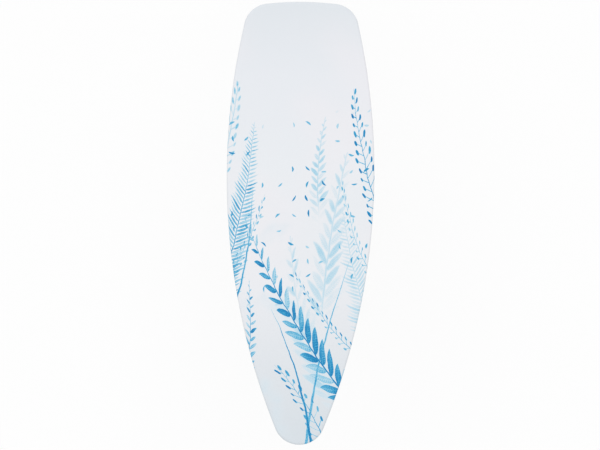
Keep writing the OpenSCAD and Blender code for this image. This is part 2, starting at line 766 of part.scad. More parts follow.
module inner_brace() {
    color(steel_paint) on_inner_leg() difference() {
        translate([crossing + brace_below_crossing, 0, 0])
            bar_y(brace_diameter / 2, -inner_leg_y, inner_leg_y);
        both_sides() translate([0, inner_leg_y, 0]) bar_x(leg_r, 0, leg_length);
    }
}

module inner_foot_bar() { color(steel_paint) on_inner_leg() foot_bar(inner_foot_width); }

module inner_foot_cap(side) {
    color(rubber_grey) difference() {
        on_inner_leg() mirror([0, side, 0]) foot_cap(inner_foot_width);
        below_floor();
    }
}

module inner_foot_cap_left() { inner_foot_cap(0); }
module inner_foot_cap_right() { inner_foot_cap(1); }

// Rod across the top of the inner frame, and the nylon bushes on it that run in the guide slots
module slide_rod() {
    half = inner_leg_y + leg_r + slide_rod_proud;
    color(bare_steel) on_inner_leg() bar_y(slide_rod_r, -half, half);
}

module slide_bushes() {
    color(nylon_white) on_inner_leg() both_sides() difference() {
        bar_y(slide_bush_r, guide_inside - slide_bush_proud, guide_width / 2 + slide_bush_proud);
        bar_y(slide_rod_r + running_clearance, 0, guide_width);
    }
}

// Clamp shaft, which turns in the guide's end plates and carries the clamp bar and the lever
module lever_shaft() {
    color(bare_steel) translate([0, shaft_y, shaft_z])
        bar_x(shaft_r, hub_x0 - shaft_end, clip_x + clip_thickness + shaft_end);
}

module shaft_clip() {
    color(bare_steel) translate([0, shaft_y, shaft_z]) difference() {
        bar_x(shaft_r + clip_rim, clip_x, clip_x + clip_thickness);
        bar_x(shaft_r + running_clearance, clip_x - cut, clip_x + clip_thickness + cut);
    }
}

module clamp_bar() {
    x0 = guide_x0 + end_plate_thickness + side_gap;
    x1 = guide_x1 - end_plate_thickness - side_gap;
    y1 = guide_inside - clamp_side_gap;
    color(bare_steel) difference() {
        translate([x0, shaft_y, pivot_z + clamp_bottom]) cube([x1 - x0, y1 - shaft_y, clamp_thickness]);
        translate([0, shaft_y, shaft_z]) bar_x(shaft_r, x0 - cut, x1 + cut);
    }
}

// Lever: a hub on the shaft and a flat arm that passes over the folded legs and drops to the grip
module lever_arm() {
    h = lever_height / 2;
    tip_y = grip_end_y - grip_nose;
    slope_y = lever_bend_y + lever_slope;
    color(steel_paint) difference() {
        union() {
            translate([0, shaft_y, shaft_z]) bar_x(hub_diameter / 2, hub_x0, hub_x1);
            translate([lever_x - lever_thickness / 2, 0, 0]) rotate([90, 0, 90])
                linear_extrude(lever_thickness) polygon([
                    [shaft_y, lever_arm_z - h], [lever_bend_y, lever_arm_z - h],
                    [slope_y, grip_z - h], [tip_y, grip_z - h],
                    [tip_y, grip_z + h], [slope_y, grip_z + h],
                    [lever_bend_y, lever_arm_z + h], [shaft_y, lever_arm_z + h]]);
        }
        translate([0, shaft_y, shaft_z]) bar_x(shaft_r + running_clearance, hub_x0 - cut, hub_x1 + cut);
    }
}

// Moulded grip with finger ribs, pushed on the end of the arm
module lever_grip() {
    r = grip_diameter / 2;
    rib_step = grip_length / (grip_ribs + 1);
    slot = grip_slot_gap;
    color(rubber_grey) translate([lever_x, 0, grip_z]) difference() {
        translate([0, grip_start_y, 0]) rotate([-90, 0, 0]) rotate_extrude() difference() {
            polygon([[0, 0], [r - grip_bevel, 0], [r, grip_bevel], [r, grip_length - grip_nose],
                     [r - grip_nose, grip_length], [0, grip_length]]);
            for (i = [1 : grip_ribs])
                translate([r - grip_groove_depth, i * rib_step - grip_groove_width / 2])
                    square([grip_groove_depth + cut, grip_groove_width]);
        }
        translate([-lever_thickness / 2 - slot, grip_start_y - cut, -lever_height / 2 - slot])
            cube([lever_thickness + 2 * slot, grip_length - grip_nose + cut + slot, lever_height + 2 * slot]);
    }
}

// Clamp springs: helical wire between the clamp bar and the guide's web
spring_count = spring_turns * spring_rings;
spring_path = [for (i = [0 : spring_count])
    let (a = 360 * i / spring_rings, r = (spring_diameter - spring_wire) / 2)
    [r * cos(a), r * sin(a), spring_wire / 2 + (spring_length - spring_wire) * i / spring_count]];

// Least gap between turns, measured from each centre point to those half a turn and more away
function spring_least_gap() = min([for (i = [0 : spring_count], j = [i + spring_rings / 2 : spring_count])
    norm(spring_path[i] - spring_path[j])]) - spring_wire;

module spring() {
    points = [for (i = [0 : spring_count], k = [0 : spring_sides - 1])
        let (a = 360 * i / spring_rings, b = 360 * k / spring_sides, out = [cos(a), sin(a), 0])
        spring_path[i] + spring_wire / 2 * (cos(b) * out + sin(b) * [0, 0, 1])];
    walls = [for (i = [0 : spring_count - 1], k = [0 : spring_sides - 1])
        let (a = i * spring_sides + k, b = i * spring_sides + (k + 1) % spring_sides)
        each [[a, a + spring_sides, b + spring_sides], [a, b + spring_sides, b]]];
    last = spring_count * spring_sides;
    ends = [for (k = [1 : spring_sides - 2])
        each [[0, k, k + 1], [last, last + k + 1, last + k]]];
    polyhedron(points, concat(walls, ends), convexity = 8);
}

module clamp_springs() {
    color(bare_steel) for (x = spring_xs)
        translate([x, spring_y, pivot_z + clamp_top + spring_seat_gap]) spring();
}

cover_cloth();
hem_elastic();
foam_pad();
felt_pad();
sheet_top();
rim_tail();
rim_left();
rim_right();
rim_nose();
cross_stiffeners();
guide_channel();
guide_end_plates();
guide_rivets();
pivot_bracket_left();
pivot_bracket_right();
bracket_rivets();
pivot_bolts();
pivot_nuts();
clamp_springs();
outer_leg_tube_left();
outer_leg_tube_right();
outer_pivot_bushes();
crossing_rivets();
outer_foot_bar();
outer_foot_cap_left();
outer_foot_cap_right();
inner_leg_tube_left();
inner_leg_tube_right();
crossing_bushes();
inner_brace();
inner_foot_bar();
inner_foot_cap_left();
inner_foot_cap_right();
slide_rod();
slide_bushes();
lever_shaft();
shaft_clip();
clamp_bar();
lever_arm();
lever_grip();
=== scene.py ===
"""Looks of a folding ironing board: a printed cotton cover over a padded steel top, on painted legs."""
import json
import math
import random

import bpy
import numpy as np
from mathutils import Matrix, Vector, noise
from mathutils.geometry import delaunay_2d_cdt


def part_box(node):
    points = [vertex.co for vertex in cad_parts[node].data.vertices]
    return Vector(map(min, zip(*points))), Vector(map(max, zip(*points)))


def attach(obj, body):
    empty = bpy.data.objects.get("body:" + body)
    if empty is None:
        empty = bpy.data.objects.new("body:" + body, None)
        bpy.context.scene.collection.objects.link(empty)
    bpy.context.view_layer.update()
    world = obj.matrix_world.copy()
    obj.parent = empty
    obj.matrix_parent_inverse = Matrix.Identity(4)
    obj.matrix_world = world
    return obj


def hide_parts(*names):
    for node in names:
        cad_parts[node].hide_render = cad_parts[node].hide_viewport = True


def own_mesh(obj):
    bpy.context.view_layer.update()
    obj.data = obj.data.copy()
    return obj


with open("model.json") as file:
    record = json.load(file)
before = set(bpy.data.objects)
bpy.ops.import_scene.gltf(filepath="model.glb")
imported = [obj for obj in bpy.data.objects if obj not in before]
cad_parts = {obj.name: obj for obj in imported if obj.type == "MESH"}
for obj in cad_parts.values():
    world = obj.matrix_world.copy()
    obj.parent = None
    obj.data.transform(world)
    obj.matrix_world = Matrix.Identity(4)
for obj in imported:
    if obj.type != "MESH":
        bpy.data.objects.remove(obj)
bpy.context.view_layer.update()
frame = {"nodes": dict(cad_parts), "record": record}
nodes = frame["nodes"]

# Sizes in metres. The frame gives where things are, and the rest are sizes of the real board.
cover_low, cover_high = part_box("cover_cloth")
NOSE_X = cover_high.x
TAIL_X = cover_low.x
HALF_WIDTH = cover_high.y
TOP_Z = cover_high.z
HEM_Z = cover_low.z
WIDEST_FROM_TAIL = 0.525
NOSE_RADIUS = 0.079
TAIL_CORNER_RADIUS = 0.078
TAIL_BOW_RADIUS = 0.9

# Cloth, and its rounding over the top's edge and under the rim
CLOTH_THICKNESS = 0.0009
HEM_THICKNESS = 0.0005
EDGE_RADIUS = 0.007
UNDER_RADIUS = 0.0014

# How far the skirt stands off the rim, in folds round the ends and in waves along the sides
SKIRT_FOLD = 0.0026
SKIRT_WAVE = 0.0014

# Hem under the rim and behind its flange, and the pleats round the ends and along the straighter sides
HEM_WIDTH = 0.045
HEM_WAVER = 0.0022
FLANGE_REACH = 0.0158
PLEAT_PITCH_ROUND = 0.0125
PLEAT_PITCH_STRAIGHT = 0.027
PLEAT_RISE_ROUND = 0.008
PLEAT_RISE_STRAIGHT = 0.0026
PLEAT_PUFF = 0.0016

# How uneven the pleats are: in radians of a pleat, then in shares of its rise
PLEAT_STRAY = 1.4
PLEAT_LEAN = 1.6
RISE_SPREAD = 0.22
CRUMPLE = 0.10

# Casing: the roll round the elastic, and the tuck that is sewn down over the folds of the hem
ROLL_RADIUS = 0.0037
ROLL_PUFF = 0.5
HEM_TUCK = 0.009
SEWN_GAP = 0.0003
SEAM_MARGIN = 0.0022
STITCH_PITCH = 0.0042
STITCH_LENGTH = 0.0031
THREAD_RADIUS = 0.00042

# The top between its edges: the spacing of its points, its swell over the pad and the tug of the gathers
TOP_GRID = 0.009
SWELL = 0.00025
TUG = 0.00025
TUG_REACH = 0.022

# Counts of samples round the outline: a window that eases the pleats in, and the reach of one fold
EASE_SAMPLES = 41
FOLD_SAMPLES = 9


# Outline of the top

def bearing(start, end):
    return math.atan2(end[1] - start[1], end[0] - start[0])


def circles_meet(centre_a, radius_a, centre_b, radius_b):
    """Where two circles meet, on the side with positive y."""
    step = np.subtract(centre_b, centre_a)
    gap = np.linalg.norm(step)
    along = (radius_a ** 2 - radius_b ** 2 + gap ** 2) / (2 * gap)
    away = math.sqrt(radius_a ** 2 - along ** 2)
    unit = step / gap
    return centre_a + along * unit + away * np.array([-unit[1], unit[0]])


class Loop:
    """Samples round the top's outline, from the nose tip by way of the left side, on four tangent arcs."""

    def __init__(self, nose_steps, side_steps, corner_steps, bow_steps):
        widest_x = TAIL_X + WIDEST_FROM_TAIL
        reach = NOSE_X - widest_x
        widening = HALF_WIDTH - NOSE_RADIUS
        side_radius = (reach ** 2 + HALF_WIDTH ** 2 - 2 * NOSE_RADIUS * reach) / (2 * widening)
        nose = np.array([NOSE_X - NOSE_RADIUS, 0])
        side = np.array([widest_x, HALF_WIDTH - side_radius])
        bow = np.array([TAIL_X + TAIL_BOW_RADIUS, 0])
        corner = circles_meet(side, side_radius - TAIL_CORNER_RADIUS,
                              bow, TAIL_BOW_RADIUS - TAIL_CORNER_RADIUS)
        nose_end = bearing(side, nose)
        side_end = bearing(side, corner)
        corner_end = bearing(bow, corner)
        arcs = [
            (nose, NOSE_RADIUS, 0, nose_end, nose_steps),
            (side, side_radius, nose_end, side_end, side_steps),
            (corner, TAIL_CORNER_RADIUS, side_end, corner_end, corner_steps),
            (bow, TAIL_BOW_RADIUS, corner_end, math.pi, bow_steps),
        ]
        half = [
            (centre[0], centre[1], radius, start + (end - start) * i / steps)
            for centre, radius, start, end, steps in arcs
            for i in range(steps)
        ]
        tail = (bow[0], bow[1], TAIL_BOW_RADIUS, math.pi)
        mirrored = [(x, -y, radius, -angle) for x, y, radius, angle in reversed(half[1:])]
        samples = np.array(half + [tail] + mirrored)
        self.centre = samples[:, :2]
        self.radius = samples[:, 2]
        self.out = np.stack([np.cos(samples[:, 3]), np.sin(samples[:, 3])], axis=1)
        self.count = len(samples)

    def inset(self, distance):
        """The outline moved in by a distance, which may differ from sample to sample."""
        return self.centre + (self.radius - distance)[:, None] * self.out


def smoothed(values, width):
    """Values round a loop, averaged over a window of that many samples."""
    kernel = np.hanning(width + 2)[1:-1]
    wrapped = np.concatenate([values[-width:], values, values[:width]])
    return np.convolve(wrapped, kernel / kernel.sum(), mode="same")[width:-width]


def crests(values, reach):
    """The highest of each value's neighbours round a loop, up to that many samples away, smoothed."""
    highest = np.max([np.roll(values, k) for k in range(-reach, reach + 1)], axis=0)
    return smoothed(highest, reach)


def rippled(count, waves, seed):
    """A gentle closed ripple round a loop, between about -1 and 1."""
    draw = random.Random(seed)
    turn = np.linspace(0, 2 * math.pi, count, endpoint=False)
    parts = [np.sin(k * turn + draw.uniform(0, 2 * math.pi)) for k in waves]
    return sum(parts) / math.sqrt(len(parts))


# Meshes

def new_object(name, points, faces, smooth=True):
    mesh = bpy.data.meshes.new(name)
    mesh.from_pydata([tuple(p) for p in points], [], [tuple(f) for f in faces])
    mesh.polygons.foreach_set("use_smooth", [smooth] * len(mesh.polygons))
    mesh.update()
    piece = bpy.data.objects.new(name, mesh)
    bpy.context.scene.collection.objects.link(piece)
    return piece


def wear(piece, material):
    piece.data.materials.clear()
    piece.data.materials.append(material)


def quads_between(row_a, row_b):
    """Faces between two rings of equally many points."""
    count = len(row_a)
    return [
        (row_a[i], row_b[i], row_b[(i + 1) % count], row_a[(i + 1) % count])
        for i in range(count)
    ]


def tube_faces(rings, sides, closed):
    """Faces of a tube whose points are listed ring by ring."""
    spans = rings if closed else rings - 1
    faces = []
    for i in range(spans):
        here = [i * sides + k for k in range(sides)]
        there = [(i + 1) % rings * sides + k for k in range(sides)]
        faces += quads_between(here, there)
    if not closed:
        last = range((rings - 1) * sides, rings * sides)
        faces += [tuple(range(sides)), tuple(reversed(last))]
    return faces


def layer(name, loop, rows):
    """A closed solid through rows of (inset, height) round the outline, from its bottom to its top."""
    points = [(x, y, z) for inset, z in rows for x, y in loop.inset(inset)]
    rings = [range(k * loop.count, (k + 1) * loop.count) for k in range(len(rows))]
    faces = [f for low, high in zip(rings, rings[1:]) for f in quads_between(high, low)]
    faces += [tuple(reversed(rings[0])), tuple(rings[-1])]
    return new_object(name, points, faces, smooth=False)


# Cover: one cloth over the pad, round the edge, down the rim and in under it to a gathered hem

class Gathers:
    """How the hem is drawn up into pleats, which are close and deep where the outline turns tightly."""

    def __init__(self, loop):
        edge = loop.inset(0)
        step = np.linalg.norm(np.roll(edge, -1, axis=0) - edge, axis=1)
        self.tight = smoothed(np.clip(NOSE_RADIUS / loop.radius, 0, 1), EASE_SAMPLES)
        pitch = PLEAT_PITCH_STRAIGHT + (PLEAT_PITCH_ROUND - PLEAT_PITCH_STRAIGHT) * self.tight
        turns = np.concatenate([[0], np.cumsum(step / pitch)])
        turns *= round(turns[-1]) / turns[-1]
        self.phase = 2 * math.pi * turns[:-1] + PLEAT_STRAY * rippled(loop.count, (17, 31, 43, 59), 3)
        self.fold = self.folded(self.phase)
        rise = PLEAT_RISE_STRAIGHT + (PLEAT_RISE_ROUND - PLEAT_RISE_STRAIGHT) * self.tight
        self.rise = rise * (1 - RISE_SPREAD + RISE_SPREAD * rippled(loop.count, (23, 37, 53), 5))
        self.lean = PLEAT_LEAN * rippled(loop.count, (7, 11, 19), 8)
        self.hem = HEM_WIDTH + HEM_WAVER * rippled(loop.count, (5, 9, 14, 22), 9)
        self.wave = np.clip(0.4 + 0.6 * rippled(loop.count, (13, 29, 41, 67), 12), 0, 1)

    def folded(self, phase):
        """0 on the rounded ridge of a pleat and 1 in the crease between two."""
        return 1 - np.abs(np.cos(phase / 2)) ** 0.8

    def stand_out(self, share):
        """How far the skirt stands off the rim, at a share of its way down from the top's edge."""
        height = self.rise / PLEAT_RISE_ROUND
        folds = SKIRT_FOLD * self.tight * (1 - self.fold) * height * share ** 1.1
        waves = SKIRT_WAVE * (1 - self.tight) * self.wave * share
        return folds + waves

    def lift(self, inset):
        """How far the hem rises at an inset: it puffs down below the rim, and folds rise behind it."""
        behind = np.clip((inset - FLANGE_REACH) / (self.hem - FLANGE_REACH), 0, 1)
        phase = self.phase + self.lean * inset / HEM_WIDTH
        fold = self.folded(phase)
        crumple = CRUMPLE * self.tight * behind * np.sin(2.6 * phase + 9 * behind)
        below_rim = np.clip((inset - 2 * UNDER_RADIUS) / FLANGE_REACH, 0, 1) ** 0.7
        puff = PLEAT_PUFF * self.tight * (1 - fold) * below_rim * (1 - behind ** 6)
        return self.rise * (fold + crumple) * np.sin(math.pi * behind ** 0.8) ** 2 - puff


def quarter_turn(steps):
    """Sine and cosine of angles from 0 to 90 degrees."""
    angles = [math.pi / 2 * i / (steps - 1) for i in range(steps)]
    return [(math.sin(a), math.cos(a)) for a in angles]


def skirt_rows(gathers):
    """Rings over the top's edge, down the rim and round its lower edge."""
    wall_top = TOP_Z - EDGE_RADIUS
    wall_low = HEM_Z + UNDER_RADIUS
    wall = np.linspace(wall_top, wall_low, 9)[1:-1]
    profile = [(EDGE_RADIUS * (1 - s), TOP_Z - EDGE_RADIUS * (1 - c), s) for s, c in quarter_turn(8)]
    profile += [(0, z, 1) for z in wall]
    profile += [(UNDER_RADIUS * (1 - c), HEM_Z + UNDER_RADIUS * (1 - s), c) for s, c in quarter_turn(5)]
    rows = []
    for inset, height, outward in profile:
        stand_out = gathers.stand_out((TOP_Z - height) / (TOP_Z - HEM_Z))
        rows.append((inset - outward * stand_out, np.full(len(stand_out), height)))
    return rows


def hem_rows(gathers):
    """Rings in under the rim, through the pleats."""
    steps = 22
    insets = [UNDER_RADIUS + (gathers.hem - UNDER_RADIUS) * i / steps for i in range(1, steps + 1)]
    return [(inset, HEM_Z + gathers.lift(inset)) for inset in insets]


def casing_rows(gathers):
    """Rings round the elastic and back over the hem to the cloth's sewn end."""
    roll_steps = 10
    tuck_steps = 6
    rows = []
    girth = ROLL_RADIUS * (1 + ROLL_PUFF * (0.5 - gathers.fold) * gathers.tight)
    centre_z = HEM_Z + ROLL_RADIUS
    for i in range(1, roll_steps + 1):
        a = math.pi * i / roll_steps
        swell = ROLL_RADIUS + (girth - ROLL_RADIUS) * math.sin(a)
        rows.append((gathers.hem + swell * math.sin(a), centre_z - swell * math.cos(a)))
    folds = crests(gathers.lift(gathers.hem - HEM_TUCK), FOLD_SAMPLES)
    sewn_z = HEM_Z + folds + 2 * HEM_THICKNESS + SEWN_GAP
    for i in range(1, tuck_steps + 1):
        t = i / tuck_steps
        ease = t * t * (3 - 2 * t)
        rows.append((gathers.hem - HEM_TUCK * t, (centre_z + ROLL_RADIUS) * (1 - ease) + sewn_z * ease))
    return rows


def top_points(loop, edge):
    """A honeycomb of points inside the top's edge, and the triangles that join them to it."""
    inside = loop.inset(EDGE_RADIUS + TOP_GRID * 0.7)
    spots = []
    row_step = TOP_GRID * math.sqrt(0.75)
    rows = int(HALF_WIDTH / row_step)
    columns = int((NOSE_X - TAIL_X) / TOP_GRID) + 1
    lower_x = inside[:loop.count // 2 + 1, 0]
    half_widths = inside[:loop.count // 2 + 1, 1]
    for j in range(-rows, rows + 1):
        y = j * row_step
        for i in range(columns):
            x = TAIL_X + (i + 0.5 * (j % 2)) * TOP_GRID
            if np.interp(-x, -lower_x, half_widths, left=-1, right=-1) > abs(y):
                spots.append((x, y))
    points = [Vector(p) for p in edge] + [Vector(p) for p in spots]
    rim = [(i, (i + 1) % loop.count) for i in range(loop.count)]
    places, _, triangles, _, _, _ = delaunay_2d_cdt(points, rim, [], 1, 1e-7)
    return np.array(places)[loop.count:], triangles


def top_heights(loop, gathers, spots):
    """Heights on the top, which swells a little over the pad and is tugged down at the gathered ends."""
    gap = np.linalg.norm(spots[:, None, :] - loop.inset(np.zeros(loop.count))[None, :, :], axis=2)
    fade = np.exp(-gap.min(axis=1) / TUG_REACH)
    tug = TUG * fade * (gathers.tight * gathers.fold)[gap.argmin(axis=1)]
    swell = [SWELL * noise.noise(Vector((x * 9, y * 14, 0.4))) for x, y in spots]
    return TOP_Z - SWELL - tug + swell


def cover_outside(loop, gathers):
    """Points, flat-cloth places and faces of the cover's outer face, its thicknesses and its last ring."""
    skirt = skirt_rows(gathers)
    rows = skirt + hem_rows(gathers) + casing_rows(gathers)
    rings = [np.column_stack([loop.inset(inset), height]) for inset, height in rows]
    plain = [np.array([np.mean(inset), np.mean(height)]) for inset, height in rows]
    along = np.concatenate([[0], np.cumsum([np.linalg.norm(b - a) for a, b in zip(plain, plain[1:])])])
    flats = [loop.inset(np.full(loop.count, EDGE_RADIUS - s)) for s in along]
    spots, triangles = top_points(loop, rings[0][:, :2])
    top = np.column_stack([spots, top_heights(loop, gathers, spots)])
    first = [k * loop.count for k in range(len(rings))]
    faces = []
    for a, b in zip(first, first[1:]):
        faces += quads_between(range(a, a + loop.count), range(b, b + loop.count))
    faces += [tuple(v if v < loop.count else v + first[-1] for v in t) for t in triangles]
    points = np.concatenate(rings + [top])
    thickness = np.full(len(points), CLOTH_THICKNESS)
    thickness[len(skirt) * loop.count:len(rows) * loop.count] = HEM_THICKNESS
    last_ring = range(first[-1], first[-1] + loop.count)
    return points, np.concatenate(flats + [spots]), faces, thickness, last_ring


def lay_out(piece, flat, outer_faces):
    """A texture map that is the flat cloth itself, with the lining side in a narrow strip beside it."""
    margin = 0.005
    outside_height = 0.88
    lining_height = 0.1
    lining_from = 0.89
    low = flat.min(axis=0)
    unit = (flat - low) / (flat.max(axis=0) - low) * (1 - 2 * margin) + margin
    outside = unit * [1, outside_height]
    lining = unit * [1, lining_height] + [0, lining_from]
    layer_uv = piece.data.uv_layers.new(name="OFBake")
    for polygon in piece.data.polygons:
        side = outside if polygon.index < outer_faces else lining
        for corner in polygon.loop_indices:
            vertex = piece.data.loops[corner].vertex_index % len(flat)
            layer_uv.data[corner].uv = side[vertex]


def make_cover(loop, gathers):
    points, flat, faces, thickness, last_ring = cover_outside(loop, gathers)
    count = len(points)
    draft = new_object("draft", points, faces)
    normals = np.zeros(count * 3)
    draft.data.vertex_normals.foreach_get("vector", normals)
    bpy.data.objects.remove(draft)
    lining = points - thickness[:, None] * normals.reshape(-1, 3)
    inner = [[v + count for v in reversed(f)] for f in faces]
    edge = quads_between(last_ring, [v + count for v in last_ring])
    piece = new_object("cover", np.concatenate([points, lining]), faces + inner + edge)
    places = piece.data.attributes.new("flat_cloth", "FLOAT_VECTOR", "POINT")
    flat_3d = np.column_stack([flat, np.zeros(count)])
    places.data.foreach_set("vector", np.concatenate([flat_3d, flat_3d]).ravel())
    lay_out(piece, flat, len(faces))
    return piece, flat[last_ring]


def make_stitch(start, end, sides, rings):
    """Points of a thread that bows down between two needle holes, where it is sunk and pinched."""
    sag = 0.9
    sunk = 0.5
    pinch = 0.45
    forward = (end - start) / np.linalg.norm(end - start)
    aside = np.cross(forward, [0, 0, 1])
    aside /= np.linalg.norm(aside)
    upward = np.cross(aside, forward)
    points = []
    for k in range(rings):
        t = k / (rings - 1)
        bow = math.sin(math.pi * t)
        middle = start + (end - start) * t - upward * THREAD_RADIUS * (sag * bow - sunk)
        around = THREAD_RADIUS * (1 - pinch + pinch * bow)
        for side in range(sides):
            a = 2 * math.pi * side / sides
            points.append(middle + around * (math.cos(a) * aside + math.sin(a) * upward))
    return points


def make_stitching(loop, gathers):
    """The seam of the hem's casing: short raised stitches on the face that looks down."""
    inset = gathers.hem - HEM_TUCK + SEAM_MARGIN
    line = np.column_stack([loop.inset(inset), HEM_Z + gathers.lift(inset)])
    seam = np.concatenate([line, line[:1]])
    travelled = np.concatenate([[0], np.cumsum(np.linalg.norm(np.diff(seam, axis=0), axis=1))])
    starts = np.arange(0, travelled[-1] - STITCH_LENGTH, STITCH_PITCH)
    sides = 6
    rings = 5
    points = []
    faces = []
    for s in starts:
        start, end = [np.array([np.interp(d, travelled, axis) for axis in seam.T])
                      for d in (s, s + STITCH_LENGTH)]
        faces += [tuple(len(points) + v for v in f) for f in tube_faces(rings, sides, closed=False)]
        points += make_stitch(start, end, sides, rings)
    return new_object("hem_stitching", points, faces)


def make_elastic(loop, gathers):
    """Flat braided elastic that stands on edge in the hem's casing."""
    sides = 10
    half_width = 0.0019
    half_thickness = 0.0012
    angles = [2 * math.pi * k / sides for k in range(sides)]
    lines = [loop.inset(gathers.hem - half_thickness * math.cos(a)) for a in angles]
    heights = [HEM_Z + ROLL_RADIUS + half_width * math.sin(a) for a in angles]
    points = [(*line[i], z) for i in range(loop.count) for line, z in zip(lines, heights)]
    return new_object("elastic_braid", points, tube_faces(loop.count, sides, closed=True))


def make_foam(loop):
    """Foam sheet with its top edge rounded over, to lie inside the cover."""
    low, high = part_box("foam_pad")
    inset = NOSE_X - high.x
    radius = 0.0045
    rows = [(inset, low.z), (inset, high.z - radius)]
    rows += [(inset + radius * (1 - c), high.z - radius * (1 - s)) for s, c in quarter_turn(7)[1:]]
    return layer("foam_layer", loop, rows)


def make_felt(loop):
    """Felt sheet with slightly crushed edges."""
    low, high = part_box("felt_pad")
    inset = NOSE_X - high.x
    crush = 0.0006
    rows = [(inset + crush, low.z), (inset, low.z + crush), (inset, high.z - crush), (inset + crush, high.z)]
    return layer("felt_layer", loop, rows)


# Steel details

SPRING_WIRE = 0.0012
SPRING_TURNS = 6
SPRING_SIDE = 0.009
UPWARD = Vector((0, 0, 1))
SIDEWAYS = Vector((0, 1, 0))
LEG_RADIUS = 0.011
FOOT_BAR_RADIUS = 0.0125
BRACE_RADIUS = 0.008
WELD_RADIUS = 0.0017
WELD_STAND_OFF = 0.0003
WELD_SPREAD = 1.25


def make_spring(name, low, high):
    """A compression spring with a closed turn at each end."""
    rings_per_turn = 40
    sides = 12
    closing = SPRING_WIRE * 1.05
    middle = (low + high) / 2
    radius = (high.x - low.x - SPRING_WIRE) / 2
    tall = high.z - low.z - SPRING_WIRE
    rings = SPRING_TURNS * rings_per_turn + 1
    end_turn = 1 / SPRING_TURNS
    points = []
    for i in range(rings):
        t = i / (rings - 1)
        a = 2 * math.pi * SPRING_TURNS * t
        ease = (t - end_turn * 0.5) / (1 - end_turn)
        climb = min(max(ease, 0), 1)
        z = low.z + SPRING_WIRE / 2 + (tall - 2 * closing) * climb
        z += closing * (min(t / end_turn, 1) + max((t - 1 + end_turn) / end_turn, 0))
        out = Vector((math.cos(a), math.sin(a), 0))
        spot = Vector((middle.x, middle.y, min(z, high.z - SPRING_WIRE / 2))) + out * radius
        for k in range(sides):
            b = 2 * math.pi * k / sides
            points.append(spot + SPRING_WIRE / 2 * (math.cos(b) * out + math.sin(b) * UPWARD))
    return new_object(name, points, tube_faces(rings, sides, closed=False))


def make_weld(name, joint, along, across, tube_radius, bar_radius):
    """A rippled bead round a tube where it meets a thicker bar that runs square to it."""
    steps = 120
    sides = 10
    third = along.cross(across)
    points = []
    for i in range(steps):
        a = 2 * math.pi * i / steps
        out = math.cos(a) * across + math.sin(a) * third
        aside = tube_radius * math.sin(a)
        up = math.sqrt(bar_radius ** 2 - aside ** 2)
        toe = joint + up * along + tube_radius * out
        bar_out = (up * along + aside * third).normalized()
        lean = (out + bar_out).normalized()
        ripple = WELD_RADIUS * (1 + 0.13 * math.sin(22 * a) + 0.06 * math.sin(9 * a + 1))
        middle = toe + WELD_STAND_OFF * lean
        run = out.cross(bar_out).normalized()
        flank = run.cross(lean)
        for k in range(sides):
            b = 2 * math.pi * k / sides
            points.append(middle + ripple * (math.cos(b) * lean + WELD_SPREAD * math.sin(b) * flank))
    return new_object(name, points, tube_faces(steps, sides, closed=True))


# Materials, written as formulas on node sockets

def srgb(red, green, blue):
    """A colour as it is seen on screen, 0 to 255, turned into linear light."""
    parts = [c / 255 for c in (red, green, blue)]
    return tuple(c / 12.92 if c <= 0.04045 else ((c + 0.055) / 1.055) ** 2.4 for c in parts) + (1,)


def feed(tree, socket, operand):
    if isinstance(operand, Value):
        tree.links.new(operand.socket, socket)
    else:
        socket.default_value = operand


def calc(tree, operation, *operands):
    node = tree.nodes.new("ShaderNodeMath")
    node.operation = operation
    for socket, operand in zip(node.inputs, operands):
        feed(tree, socket, operand)
    return Value(tree, node.outputs[0])


class Value:
    """An output socket that takes part in arithmetic, so that a pattern reads as a formula."""

    def __init__(self, tree, socket):
        self.tree = tree
        self.socket = socket

    def __add__(self, other):
        return calc(self.tree, "ADD", self, other)

    def __sub__(self, other):
        return calc(self.tree, "SUBTRACT", self, other)

    def __rsub__(self, other):
        return calc(self.tree, "SUBTRACT", other, self)

    def __mul__(self, other):
        return calc(self.tree, "MULTIPLY", self, other)

    def __truediv__(self, other):
        return calc(self.tree, "DIVIDE", self, other)

    def __pow__(self, power):
        return calc(self.tree, "POWER", self, power)

    def __abs__(self):
        return calc(self.tree, "ABSOLUTE", self)

    __radd__ = __add__
    __rmul__ = __mul__

    def floor(self):
        return calc(self.tree, "FLOOR", self)

    def above(self, other):
        return calc(self.tree, "GREATER_THAN", self, other)

    def below(self, other):
        return calc(self.tree, "LESS_THAN", self, other)

    def least(self, other):
        return calc(self.tree, "MINIMUM", self, other)

    def most(self, other):
        return calc(self.tree, "MAXIMUM", self, other)

    def sine(self):
        return calc(self.tree, "SINE", self)

    def cosine(self):
        return calc(self.tree, "COSINE", self)

    def root(self):
        return calc(self.tree, "SQRT", self)

    def smooth(self, low, high):
        """0 below low, 1 above high, and an S-curve between them."""
        node = self.tree.nodes.new("ShaderNodeMapRange")
        node.interpolation_type = "SMOOTHSTEP"
        feed(self.tree, node.inputs["Value"], self)
        node.inputs["From Min"].default_value = low
        node.inputs["From Max"].default_value = high
        return Value(self.tree, node.outputs["Result"])

    def parts(self):
        node = self.tree.nodes.new("ShaderNodeSeparateXYZ")
        feed(self.tree, node.inputs[0], self)
        return [Value(self.tree, output) for output in node.outputs]


def joined(tree, x, y, z):
    node = tree.nodes.new("ShaderNodeCombineXYZ")
    for socket, operand in zip(node.inputs, (x, y, z)):
        feed(tree, socket, operand)
    return Value(tree, node.outputs[0])


def object_place(tree):
    return Value(tree, tree.nodes.new("ShaderNodeTexCoord").outputs["Object"])


def flat_place(tree):
    node = tree.nodes.new("ShaderNodeAttribute")
    node.attribute_name = "flat_cloth"
    return Value(tree, node.outputs["Vector"])


